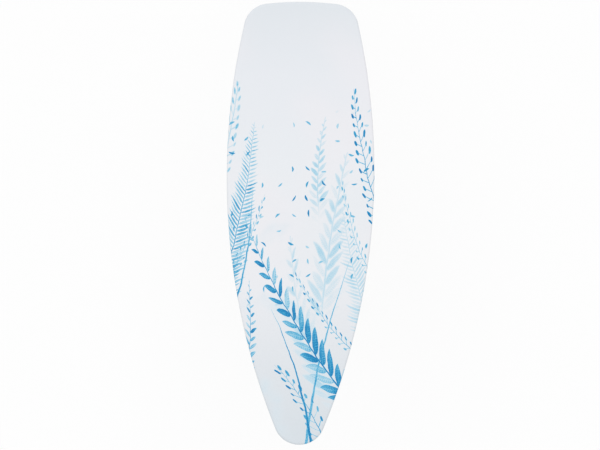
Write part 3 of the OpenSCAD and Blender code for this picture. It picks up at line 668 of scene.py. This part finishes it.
def grain(tree, place, scale, detail=2.0, roughness=0.5):
    node = tree.nodes.new("ShaderNodeTexNoise")
    feed(tree, node.inputs["Vector"], place)
    node.inputs["Scale"].default_value = scale
    node.inputs["Detail"].default_value = detail
    node.inputs["Roughness"].default_value = roughness
    return Value(tree, node.outputs["Fac"])


def wander(tree, place, scale, reach):
    """A small shift in x and in y, up to about a third of reach, that changes smoothly over the cloth."""
    node = tree.nodes.new("ShaderNodeTexNoise")
    feed(tree, node.inputs["Vector"], place)
    node.inputs["Scale"].default_value = scale
    shift_x, shift_y, _ = Value(tree, node.outputs["Color"]).parts()
    return (shift_x - 0.5) * reach, (shift_y - 0.5) * reach


def cells(tree, place, scale):
    node = tree.nodes.new("ShaderNodeTexVoronoi")
    feed(tree, node.inputs["Vector"], place)
    node.inputs["Scale"].default_value = scale
    return Value(tree, node.outputs["Distance"])


def chance(tree, place):
    """Three random numbers for a place, the same every time."""
    node = tree.nodes.new("ShaderNodeTexWhiteNoise")
    feed(tree, node.inputs["Vector"], place)
    return Value(tree, node.outputs["Color"]).parts()


def shaded(tree, share, stops):
    """A colour that follows a share from 0 to 1 through stops of (place, colour)."""
    node = tree.nodes.new("ShaderNodeValToRGB")
    ramp = node.color_ramp
    while len(ramp.elements) < len(stops):
        ramp.elements.new(1)
    for element, (place, colour) in zip(ramp.elements, stops):
        element.position = place
        element.color = colour
    feed(tree, node.inputs["Fac"], share)
    return Value(tree, node.outputs["Color"])


def mixed(tree, share, first, second):
    node = tree.nodes.new("ShaderNodeMix")
    node.data_type = "RGBA"
    feed(tree, node.inputs["Factor"], share)
    feed(tree, node.inputs["A"], first)
    feed(tree, node.inputs["B"], second)
    return Value(tree, node.outputs["Result"])


def start_material(name, **sockets):
    material = bpy.data.materials.new(name)
    material.use_nodes = True
    tree = material.node_tree
    shader = tree.nodes["Principled BSDF"]
    for socket, value in sockets.items():
        shader.inputs[socket.replace("_", " ")].default_value = value
    return material, tree, shader


def emboss(tree, shader, height, depth, rounding=0):
    """Raises the surface by a pattern, and rounds the edges of a hard piece by a radius."""
    node = tree.nodes.new("ShaderNodeBump")
    node.inputs["Distance"].default_value = depth
    feed(tree, node.inputs["Height"], height)
    if rounding:
        bevel = tree.nodes.new("ShaderNodeBevel")
        bevel.inputs["Radius"].default_value = rounding
        tree.links.new(bevel.outputs["Normal"], node.inputs["Normal"])
    tree.links.new(node.outputs["Normal"], shader.inputs["Normal"])


# The print: leafy branches, ferns, berry twigs and grass in blue, each on a curved stem of its own.
# Places are on the flat cloth, in metres: x runs to the nose and y to the left side of the board.

LEAFY = dict(kind="leaf", spacing=0.040, slant=40, curl=1.6, reach=0.092, width=0.0128, stem=0.0026,
             side_veins=0.0065)
SMALL_LEAF = dict(kind="leaf", spacing=0.024, slant=48, curl=3.0, reach=0.046, width=0.0070, stem=0.0017)
FERN = dict(kind="leaf", spacing=0.0115, slant=58, curl=3.5, reach=0.076, width=0.0044, stem=0.0020)
BERRY = dict(kind="berry", spacing=0.028, slant=46, curl=2.0, reach=0.046, width=0.0056, stem=0.0016)
SPRIG = dict(kind="berry", spacing=0.021, slant=50, curl=2.5, reach=0.025, width=0.0034, stem=0.0013)
GRASS = dict(kind="blade", stem=0.0050)
SHARP = 0.0010
SOFT = 0.0028
BLURRED = 0.0050

# Crisp branches first, then pale and softer ones, of which some fade in from the root
PRINT = [
    dict(LEAFY, root=(0.63, 0.240), heading=225, length=0.76, bend=-0.30, tone=1.25, soft=SHARP),
    dict(FERN, root=(0.36, -0.300), heading=158, length=0.68, bend=0.22, tone=0.95, soft=SHARP),
    dict(BERRY, root=(0.14, 0.310), heading=206, length=0.56, bend=-0.34, tone=1.20, soft=SHARP),
    dict(SMALL_LEAF, root=(0.68, -0.210), heading=162, length=0.50, bend=0.42, tone=1.15, soft=SHARP),
    dict(BERRY, root=(0.74, 0.100), heading=193, length=0.34, bend=0.90, tone=1.10, soft=SHARP),
    dict(GRASS, root=(0.80, 0.045), heading=181, length=0.54, bend=0.42, tone=0.95, soft=SHARP),
    dict(GRASS, root=(0.80, 0.010), heading=177, length=0.70, bend=-0.22, tone=0.60, soft=SHARP),
    dict(GRASS, root=(0.46, -0.300), heading=146, length=0.56, bend=0.62, tone=0.75, soft=SHARP),
    dict(SPRIG, root=(0.50, 0.330), heading=246, length=0.46, bend=-0.85, tone=0.95, soft=SHARP),
    dict(SPRIG, root=(0.30, 0.330), heading=228, length=0.44, bend=-0.95, tone=0.70, soft=SHARP),
    dict(SPRIG, root=(0.28, -0.330), heading=128, length=0.40, bend=0.95, tone=0.85, soft=SHARP),
    dict(LEAFY, root=(0.36, 0.060), heading=177, length=0.58, bend=-0.16, tone=0.36, soft=BLURRED, fade=0.3),
    dict(LEAFY, root=(0.60, 0.140), heading=214, length=0.56, bend=-0.55, tone=0.30, soft=BLURRED, fade=0.2),
    dict(SMALL_LEAF, root=(0.02, 0.06), heading=187, length=0.34, bend=-0.5, tone=0.42, soft=SOFT, fade=0.4),
    dict(FERN, root=(0.56, 0.300), heading=203, length=0.62, bend=-0.20, tone=0.42, soft=SOFT),
    dict(BERRY, root=(0.02, -0.330), heading=150, length=0.46, bend=0.50, tone=0.55, soft=SOFT),
]
STALK_RADIUS = 0.0010
NEVER_ZERO = 0.0001
# A leaf's profile is out ** LEAF_POWER * (1 - out), and LEAF_PEAK is its greatest value
LEAF_POWER = 0.75
LEAF_PEAK = 0.303
DRIFT_CELL = 0.046
DRIFT_SHARE = 0.46

# Tint of the bare cotton with painted shade: darker towards the tail, where the cloth curves down, and darker
# and bluer towards the nose
CLOTH_SPAN = 1.4
COTTON_TINTS_AND_SHADE = [(-0.67, (224, 229, 234)), (-0.45, (231, 234, 239)), (-0.15, (233, 236, 240)),
                (0.20, (233, 235, 239)), (0.50, (221, 226, 231)), (0.66, (215, 222, 228))]


def stem_shape(branch, travelled, far):
    """The stem of a branch, which tapers from its root to its tip."""
    on_stem = travelled.above(0) * travelled.below(1)
    taper = (1 - travelled).most(0) ** 0.8
    return (taper * branch["stem"] - far).smooth(-branch["soft"], branch["soft"]) * on_stem


def berry_shape(branch, out, across, length, wider, darker):
    """A round berry at the end of a thin stalk."""
    end_gap = (out - 1) * length
    from_middle = (end_gap * end_gap + across * across).root()
    radius = branch["width"] * (0.7 + wider * 0.5)
    berry = (radius - from_middle).smooth(-branch["soft"], branch["soft"])
    stalk = (STALK_RADIUS - across).smooth(-branch["soft"], branch["soft"]) * out.below(1) * 0.7
    return berry.most(stalk) * (darker * 0.5 + 0.5)


def leaf_shape(branch, out, across, length, width, darker):
    """A pointed leaf, paler on its veins and towards its tip, and darker at its rim."""
    profile = out.most(NEVER_ZERO) ** LEAF_POWER * (1 - out).most(0) / LEAF_PEAK
    inside = profile * width - across
    leaf = inside.smooth(-branch["soft"], branch["soft"]) * out.below(1)
    vein = 1 - across.smooth(0.0002, 0.0009)
    if "side_veins" in branch:
        ribs = (out * length - across * 1.3) * (2 * math.pi / branch["side_veins"])
        vein = vein.most(ribs.sine().smooth(0.55, 1.0) * 0.8)
    rim = 1 - inside.smooth(0.0, 0.0022)
    return leaf * ((darker * 0.6 + 0.36) * (1 - out * 0.3) + rim * 0.16 - vein * 0.22)


def rows_on_stem(tree, branch, along, beside, seed):
    """Leaves or berries in a row on each side of the stem, each with a size and a shade of its own."""
    far = abs(beside)
    side = beside.above(0)
    slant = math.radians(branch["slant"])
    spacing = branch["spacing"]
    step = (along - far / math.tan(slant) - far * far * branch["curl"]) / spacing + side * 0.5
    cell = step.floor()
    across = abs(step - cell - 0.5) * (spacing * math.sin(slant))
    attached = (cell + 0.5 - side * 0.5) * (spacing / branch["length"])
    there = attached.above(0.05) * attached.below(0.985)
    size = (1 - attached).most(0) ** 0.55 * (attached * 3 + 0.45).least(1)
    longer, wider, darker = chance(tree, joined(tree, cell, side, seed))
    length = size * (longer * 0.35 + 0.8) * branch["reach"]
    out = far / math.sin(slant) / length.most(NEVER_ZERO)
    if branch["kind"] == "berry":
        return berry_shape(branch, out, across, length, wider, darker) * there
    width = size * (wider * 0.4 + 0.8) * branch["width"]
    return leaf_shape(branch, out, across, length, width, darker) * there


def motif(tree, print_x, print_y, branch, seed):
    """How strongly one branch inks each place on the cloth, from 0 to about 1."""
    turn = math.radians(branch["heading"])
    root_x, root_y = branch["root"]
    along = (print_x - root_x) * math.cos(turn) + (print_y - root_y) * math.sin(turn)
    level = (print_y - root_y) * math.cos(turn) - (print_x - root_x) * math.sin(turn)
    beside = level - along * along * branch["bend"]
    travelled = along / branch["length"]
    stem = stem_shape(branch, travelled, abs(beside))
    if branch["kind"] == "blade":
        return stem * branch["tone"]
    ink = rows_on_stem(tree, branch, along, beside, seed).most(stem * 0.88) * branch["tone"]
    return ink * travelled.smooth(0, branch["fade"]) if "fade" in branch else ink


def drifting_leaves(tree, print_x, print_y):
    """Small loose leaves scattered over the upper middle of the cloth, one at most to a square."""
    column = print_x / DRIFT_CELL
    row = print_y / DRIFT_CELL
    draw_a, draw_b, draw_c = chance(tree, joined(tree, column.floor(), row.floor(), 5.0))
    u = column - column.floor() - 0.5 + (draw_b - 0.5) * 0.3
    v = row - row.floor() - 0.5 + (draw_c - 0.5) * 0.3
    turn = draw_a * (2 * math.pi * 7)
    along = u * turn.cosine() + v * turn.sine()
    across = abs(v * turn.cosine() - u * turn.sine() - along * along * 0.9)
    half_length = draw_b * 0.10 + 0.14
    lens = (1 - along * along / (half_length * half_length)) * (draw_c * 0.03 + 0.05)
    leaf = (lens - across).smooth(-0.012, 0.02)
    chosen = draw_a.below(DRIFT_SHARE)
    band = print_x.smooth(-0.42, -0.22) * (1 - print_x.smooth(0.14, 0.30))
    return leaf * chosen * band * (draw_b * 0.8 + 0.15)


def weave(tree, flat_x, flat_y, pitch):
    turn = math.pi / pitch
    return (flat_x * turn).sine() * (flat_y * turn).sine()


def cotton_print():
    material, tree, shader = start_material(
        "cotton_print", Roughness=0.86, Specular_IOR_Level=0.25, Sheen_Weight=0.12, Sheen_Roughness=0.5)
    place = flat_place(tree)
    flat_x, flat_y, _ = place.parts()
    slow_x, slow_y = wander(tree, place, 15, 0.011)
    quick_x, quick_y = wander(tree, place, 150, 0.0020)
    print_x = flat_x + slow_x + quick_x
    print_y = flat_y + slow_y + quick_y
    ink = drifting_leaves(tree, print_x, print_y)
    for seed, branch in enumerate(PRINT):
        ink = ink.most(motif(tree, print_x, print_y, branch, float(seed)))
    pool = grain(tree, place, 26, detail=5, roughness=0.6)
    stipple = grain(tree, place, 380, detail=3, roughness=0.6).smooth(0.3, 0.7)
    ink = ink * (pool * 1.1 + 0.45) * (stipple * 0.5 + 0.75)
    wash = grain(tree, place, 5.5, detail=3).smooth(0.50, 0.8) * flat_x.smooth(-0.35, 0.1)
    ink = ink.most(wash * 0.12)
    # Bare cotton along the board, darkened towards the tail by painted shade
    white = shaded(tree, flat_x / CLOTH_SPAN + 0.5, [
        (x / CLOTH_SPAN + 0.5, srgb(*tint)) for x, tint in COTTON_TINTS_AND_SHADE])
    middle = flat_x.smooth(-0.68, -0.5) * (1 - flat_x.smooth(0.1, 0.4))
    blush = grain(tree, place, 3.4, detail=1).smooth(0.42, 0.66) * middle
    white = mixed(tree, blush * 0.45, white, srgb(239, 236, 240))
    blues = shaded(tree, ink, [
        (0.0, srgb(226, 233, 238)), (0.18, srgb(200, 223, 235)), (0.4, srgb(146, 204, 228)),
        (0.64, srgb(78, 172, 212)), (0.84, srgb(34, 149, 199)), (1.0, srgb(4, 122, 182))])
    yarn = weave(tree, flat_x, flat_y, 0.0009)
    slub = grain(tree, place, 240, detail=3)
    colour = mixed(tree, ink.smooth(0.0, 0.16), white, blues)
    shade = mixed(tree, (yarn * 0.5 + slub - 0.2) * 0.05, colour, srgb(196, 206, 214))
    feed(tree, shader.inputs["Base Color"], shade)
    emboss(tree, shader, yarn * 0.5 + slub * 0.8, 0.00006)
    return material


def plain_cloth(name, light, dark, pitch, depth):
    """Twisted or braided yarn in one colour, darkened by painted shade in the grooves of its twist."""
    material, tree, shader = start_material(name, Roughness=0.8, Specular_IOR_Level=0.25, Sheen_Weight=0.1)
    place = object_place(tree)
    x, y, z = place.parts()
    twist_and_shade = ((x + y + z) * (2 * math.pi / pitch)).sine() * ((x - y + z) * (2 * math.pi / pitch)).sine()
    # From painted shade in the grooves of the twist to the yarn's own colour on its crests
    colour = mixed(tree, twist_and_shade * 0.5 + 0.5, dark, light)
    feed(tree, shader.inputs["Base Color"], colour)
    emboss(tree, shader, twist_and_shade, depth)
    return material


def foam_rubber():
    material, tree, shader = start_material("open_cell_foam", Roughness=0.9, Specular_IOR_Level=0.2)
    place = object_place(tree)
    pores = cells(tree, place, 900)
    age = grain(tree, place, 8, detail=3)
    colour = mixed(tree, pores * 0.6 + age * 0.3, srgb(246, 238, 205), srgb(214, 200, 150))
    feed(tree, shader.inputs["Base Color"], colour)
    emboss(tree, shader, pores, 0.0005)
    return material


def needled_felt():
    material, tree, shader = start_material(
        "needled_felt", Roughness=0.95, Specular_IOR_Level=0.15, Sheen_Weight=0.2, Sheen_Roughness=0.6)
    place = object_place(tree)
    tufts = grain(tree, place, 160, detail=6, roughness=0.75)
    fibres = grain(tree, place, 1500, detail=3, roughness=0.7)
    flecks = grain(tree, place, 420, detail=1).smooth(0.62, 0.72)
    colour = shaded(tree, tufts * 0.6 + fibres * 0.4, [
        (0.25, srgb(166, 166, 163)), (0.5, srgb(203, 203, 199)), (0.75, srgb(226, 226, 222))])
    colour = mixed(tree, flecks * 0.5, colour, srgb(130, 148, 165))
    feed(tree, shader.inputs["Base Color"], colour)
    emboss(tree, shader, tufts * 0.7 + fibres * 0.3, 0.0008)
    return material


# How far edges are rounded and rubbed, which is less than the thinnest sheet's half
EDGE_REACH = 0.0004


def edge_wear(tree, reach):
    """Where a surface turns over an edge, from 0 on the flat to 1 on the edge."""
    bevel = tree.nodes.new("ShaderNodeBevel")
    bevel.samples = 8
    bevel.inputs["Radius"].default_value = reach
    face = tree.nodes.new("ShaderNodeNewGeometry")
    product = tree.nodes.new("ShaderNodeVectorMath")
    product.operation = "DOT_PRODUCT"
    tree.links.new(bevel.outputs["Normal"], product.inputs[0])
    tree.links.new(face.outputs["Normal"], product.inputs[1])
    return (1 - Value(tree, product.outputs["Value"])).smooth(0.02, 0.25)


def powder_coat():
    """Silver-grey powder coat: a fine orange peel with a faint glint painted in as fine paler specks, paler
    where its edges are rubbed.
    """
    material, tree, shader = start_material("powder_coat", Metallic=0.2, Coat_Weight=0.2, Coat_Roughness=0.25)
    place = object_place(tree)
    peel = grain(tree, place, 650, detail=1)
    # Fine specks painted paler as a glint
    painted_glint = grain(tree, place, 3200, detail=0)
    drift = grain(tree, place, 5, detail=3)
    scuff = grain(tree, place, 70, detail=5, roughness=0.7).smooth(0.70, 0.78)
    rubbed = edge_wear(tree, EDGE_REACH) * grain(tree, place, 60, detail=3).smooth(0.4, 0.65)
    paint = mixed(tree, drift * 0.7 + painted_glint * 0.3, srgb(186, 192, 198), srgb(206, 211, 216))
    paint = mixed(tree, scuff * 0.25, paint, srgb(166, 171, 177))
    paint = mixed(tree, rubbed * 0.5, paint, srgb(222, 224, 226))
    feed(tree, shader.inputs["Base Color"], paint)
    gloss = 0.32 + peel * 0.08 + scuff * 0.12
    feed(tree, shader.inputs["Roughness"], gloss)
    emboss(tree, shader, peel, 0.000012, rounding=EDGE_REACH)
    return material


def plated_steel(name, light, dark, gloss):
    material, tree, shader = start_material(name, Metallic=1.0)
    place = object_place(tree)
    spangle = cells(tree, place, 160)
    x, y, z = place.parts()
    drawn = grain(tree, joined(tree, x * 40, y * 900, z * 900), 1, detail=3)
    haze = grain(tree, place, 14, detail=4)
    rubbed = edge_wear(tree, EDGE_REACH)
    metal = mixed(tree, spangle * 0.35 + drawn * 0.35 + haze * 0.3, dark, light)
    metal = mixed(tree, rubbed * 0.5, metal, light)
    feed(tree, shader.inputs["Base Color"], metal)
    rough = drawn * 0.16 + haze * 0.12 + gloss
    feed(tree, shader.inputs["Roughness"], rough)
    emboss(tree, shader, drawn, 0.000008, rounding=EDGE_REACH)
    return material


def moulded(name, light, dark, rough, grain_size, depth):
    """Plastic or rubber with a fine mould grain and paler, rubbed edges."""
    material, tree, shader = start_material(name, Specular_IOR_Level=0.4)
    place = object_place(tree)
    pits = grain(tree, place, 1 / grain_size, detail=2)
    bloom = grain(tree, place, 22, detail=4, roughness=0.65)
    rubbed = edge_wear(tree, EDGE_REACH) * grain(tree, place, 120, detail=3).smooth(0.4, 0.65)
    colour = mixed(tree, pits * 0.4 + bloom * 0.6, dark, light)
    colour = mixed(tree, rubbed * 0.3, colour, tuple(min(c * 1.6, 1) for c in light[:3]) + (1,))
    feed(tree, shader.inputs["Base Color"], colour)
    dull = bloom * 0.14 + rough
    feed(tree, shader.inputs["Roughness"], dull)
    emboss(tree, shader, pits, depth, rounding=EDGE_REACH)
    return material


COTTON = cotton_print()
# The darker colour of each yarn is painted shade in the grooves of its twist
THREAD = plain_cloth("sewing_thread", srgb(240, 242, 244), srgb(196, 206, 214), 0.0009, 0.00008)
BRAID = plain_cloth("braided_elastic", srgb(244, 244, 240), srgb(206, 206, 200), 0.0016, 0.0002)
FOAM = foam_rubber()
FELT = needled_felt()
PAINT = powder_coat()
ZINC = plated_steel("bright_zinc", srgb(226, 228, 230), srgb(186, 190, 194), 0.22)
SPRING = plated_steel("oiled_spring_steel", srgb(150, 152, 156), srgb(92, 94, 98), 0.20)
NYLON = moulded("natural_nylon", srgb(240, 239, 232), srgb(222, 220, 208), 0.36, 0.0012, 0.000010)
RUBBER = moulded("matt_rubber", srgb(82, 90, 98), srgb(58, 65, 72), 0.62, 0.0007, 0.000030)
GRIP = moulded("grip_plastic", srgb(70, 92, 112), srgb(50, 68, 86), 0.42, 0.0009, 0.000030)

FINISH = {
    PAINT: ["sheet_top", "rim_tail", "rim_left", "rim_right", "rim_nose", "cross_stiffeners",
            "pivot_bracket_left", "pivot_bracket_right", "outer_leg_tube_left", "outer_leg_tube_right",
            "outer_foot_bar", "inner_leg_tube_left", "inner_leg_tube_right", "inner_brace", "inner_foot_bar",
            "lever_arm"],
    ZINC: ["guide_channel", "guide_end_plates", "guide_rivets", "bracket_rivets", "pivot_bolts",
           "pivot_nuts", "crossing_rivets", "slide_rod", "lever_shaft", "clamp_bar"],
    SPRING: ["shaft_clip"],
    NYLON: ["outer_pivot_bushes", "crossing_bushes", "slide_bushes"],
    RUBBER: ["outer_foot_cap_left", "outer_foot_cap_right", "inner_foot_cap_left", "inner_foot_cap_right"],
    GRIP: ["lever_grip"],
}
for finish, names in FINISH.items():
    for name in names:
        wear(nodes[name], finish)


# Pieces put in their places on the bodies

def place_piece(piece, body, material, slot, *replaced):
    wear(piece, material)
    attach(piece, body)
    if replaced:
        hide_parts(*replaced)


def add_soft_pieces():
    """The cover with its stitching and elastic, and the two layers of the pad."""
    fine_loop = Loop(nose_steps=90, side_steps=170, corner_steps=90, bow_steps=16)
    gathers = Gathers(fine_loop)
    cover, cut_edge = make_cover(fine_loop, gathers)
    stitching = make_stitching(fine_loop, gathers)
    elastic = make_elastic(fine_loop, gathers)
    coarse_loop = Loop(nose_steps=30, side_steps=60, corner_steps=30, bow_steps=8)
    foam = make_foam(coarse_loop)
    felt = make_felt(coarse_loop)
    place_piece(cover, "top", COTTON, "cover_cotton", "cover_cloth")
    place_piece(stitching, "top", THREAD, "cover_cotton")
    place_piece(elastic, "top", BRAID, "elastic", "hem_elastic")
    place_piece(foam, "top", FOAM, "foam", "foam_pad")
    place_piece(felt, "top", FELT, "felt", "felt_pad")
    long, wide = cut_edge.max(axis=0) - cut_edge.min(axis=0)


def add_springs():
    """The two clamp springs."""
    low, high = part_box("clamp_springs")
    joints = frame["record"]["behaviour"]["joints"]
    squeeze = next(joint for joint in joints if joint["name"] == "release_lever_squeeze")
    arm = (low.y + high.y) / 2 - squeeze["pos_m"][1]
    squeezed_by = arm * math.sin(math.radians(squeeze["range_deg"][1]))
    for label, x in (("tail", low.x), ("nose", high.x - SPRING_SIDE)):
        foot = Vector((x, low.y, low.z))
        head = Vector((x + SPRING_SIDE, high.y, high.z))
        spring = make_spring(f"clamp_spring_{label}", foot, head)
        place_piece(spring, "top", SPRING, "spring_steel", "clamp_springs")
        1 - squeezed_by / (head.z - foot.z)
        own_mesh(spring)


def centre_of(node):
    low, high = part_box(node)
    return (low + high) / 2


def add_welds():
    """Beads where the leg tubes meet their foot bars, and where the brace meets the inner tubes."""
    for body, top_piece in (("outer_leg", "outer_pivot_bushes"), ("inner_leg", "slide_rod")):
        foot = centre_of(body.replace("leg", "foot_bar"))
        upward = (centre_of(top_piece) - foot).normalized()
        for side in ("left", "right"):
            leg_y = centre_of(f"{body}_tube_{side}").y
            joint = Vector((foot.x, leg_y, foot.z))
            bead = make_weld(f"{body}_foot_weld_{side}", joint, upward, SIDEWAYS,
                             LEG_RADIUS, FOOT_BAR_RADIUS)
            place_piece(bead, body, PAINT, "frame_paint")
            if body == "inner_leg":
                brace = centre_of("inner_brace")
                joint = Vector((brace.x, leg_y, brace.z))
                inward = SIDEWAYS * (-1 if leg_y > 0 else 1)
                bead = make_weld(f"brace_weld_{side}", joint, inward, upward, BRACE_RADIUS, LEG_RADIUS)
                place_piece(bead, body, PAINT, "frame_paint")


add_soft_pieces()
add_springs()
add_welds()


# Stage, light and camera

WHITE = (1, 1, 1, 1)
FLOOR_GREY = (0.92, 0.92, 0.92, 1)
FLOOR_HALF = 9
FLOOR_GLOW = 0.85
SKY_LIGHT = 0.65
KEY_STRENGTH = 1.2
KEY_SPREAD = 70
KEY_FROM = (-1.4, -0.35, 5.0)
CAMERA_DISTANCE = 5.0
VIEW_WIDTH = 1.8268
SENSOR = 36
VIEW_CENTRE = (0.0053, -0.0009)
VIEW_TILT = 0.3


def seen_directly(tree):
    """1 where the camera or a mirror-like surface looks at it, and 0 for light that falls on things."""
    path = tree.nodes.new("ShaderNodeLightPath")
    kinds = ("Is Camera Ray", "Is Glossy Ray", "Is Transmission Ray")
    camera, glossy, transmission = [Value(tree, path.outputs[kind]) for kind in kinds]
    return camera.most(glossy).most(transmission)


def mix_looks(tree, lit, seen, share, output):
    """Joins a shader for the light that falls on things with one for what is seen directly."""
    both = tree.nodes.new("ShaderNodeMixShader")
    feed(tree, both.inputs["Fac"], seen_directly(tree) * share)
    tree.links.new(lit.outputs[0], both.inputs[1])
    tree.links.new(seen.outputs[0], both.inputs[2])
    tree.links.new(both.outputs[0], tree.nodes[output].inputs["Surface"])


def make_floor():
    signs = ((-1, -1), (1, -1), (1, 1), (-1, 1))
    corners = [(x * FLOOR_HALF, y * FLOOR_HALF, 0) for x, y in signs]
    floor = new_object("floor", corners, [(0, 1, 2, 3)], smooth=False)
    material = bpy.data.materials.new("pale_floor")
    material.use_nodes = True
    material.cycles.emission_sampling = "NONE"
    tree = material.node_tree
    tree.nodes.remove(tree.nodes["Principled BSDF"])
    lit = tree.nodes.new("ShaderNodeBsdfDiffuse")
    lit.inputs["Color"].default_value = FLOOR_GREY
    glow = tree.nodes.new("ShaderNodeEmission")
    mix_looks(tree, lit, glow, FLOOR_GLOW, "Material Output")
    wear(floor, material)


def make_sky():
    world = bpy.data.worlds.new("studio")
    world.use_nodes = True
    tree = world.node_tree
    fill = tree.nodes["Background"]
    fill.inputs["Color"].default_value = WHITE
    fill.inputs["Strength"].default_value = SKY_LIGHT
    backdrop = tree.nodes.new("ShaderNodeBackground")
    backdrop.inputs["Color"].default_value = WHITE
    mix_looks(tree, fill, backdrop, 1, "World Output")
    bpy.context.scene.world = world


def make_key_light():
    """A very large soft light, high up and a little to one side."""
    light = bpy.data.lights.new("softbox", "SUN")
    light.energy = KEY_STRENGTH
    light.angle = math.radians(KEY_SPREAD)
    lamp = bpy.data.objects.new("softbox", light)
    lamp.location = KEY_FROM
    lamp.rotation_euler = (-Vector(KEY_FROM)).to_track_quat("-Z", "Y").to_euler()
    bpy.context.scene.collection.objects.link(lamp)


def make_camera():
    data = bpy.data.cameras.new("camera")
    data.sensor_width = SENSOR
    data.lens = SENSOR * CAMERA_DISTANCE / VIEW_WIDTH
    camera = bpy.data.objects.new("camera", data)
    camera.location = (*VIEW_CENTRE, TOP_Z + CAMERA_DISTANCE)
    camera.rotation_euler = (0, 0, math.radians(90 + VIEW_TILT))
    bpy.context.scene.collection.objects.link(camera)
    bpy.context.scene.camera = camera


make_floor()
make_sky()
make_key_light()
make_camera()
bpy.context.scene.view_settings.view_transform = "Standard"
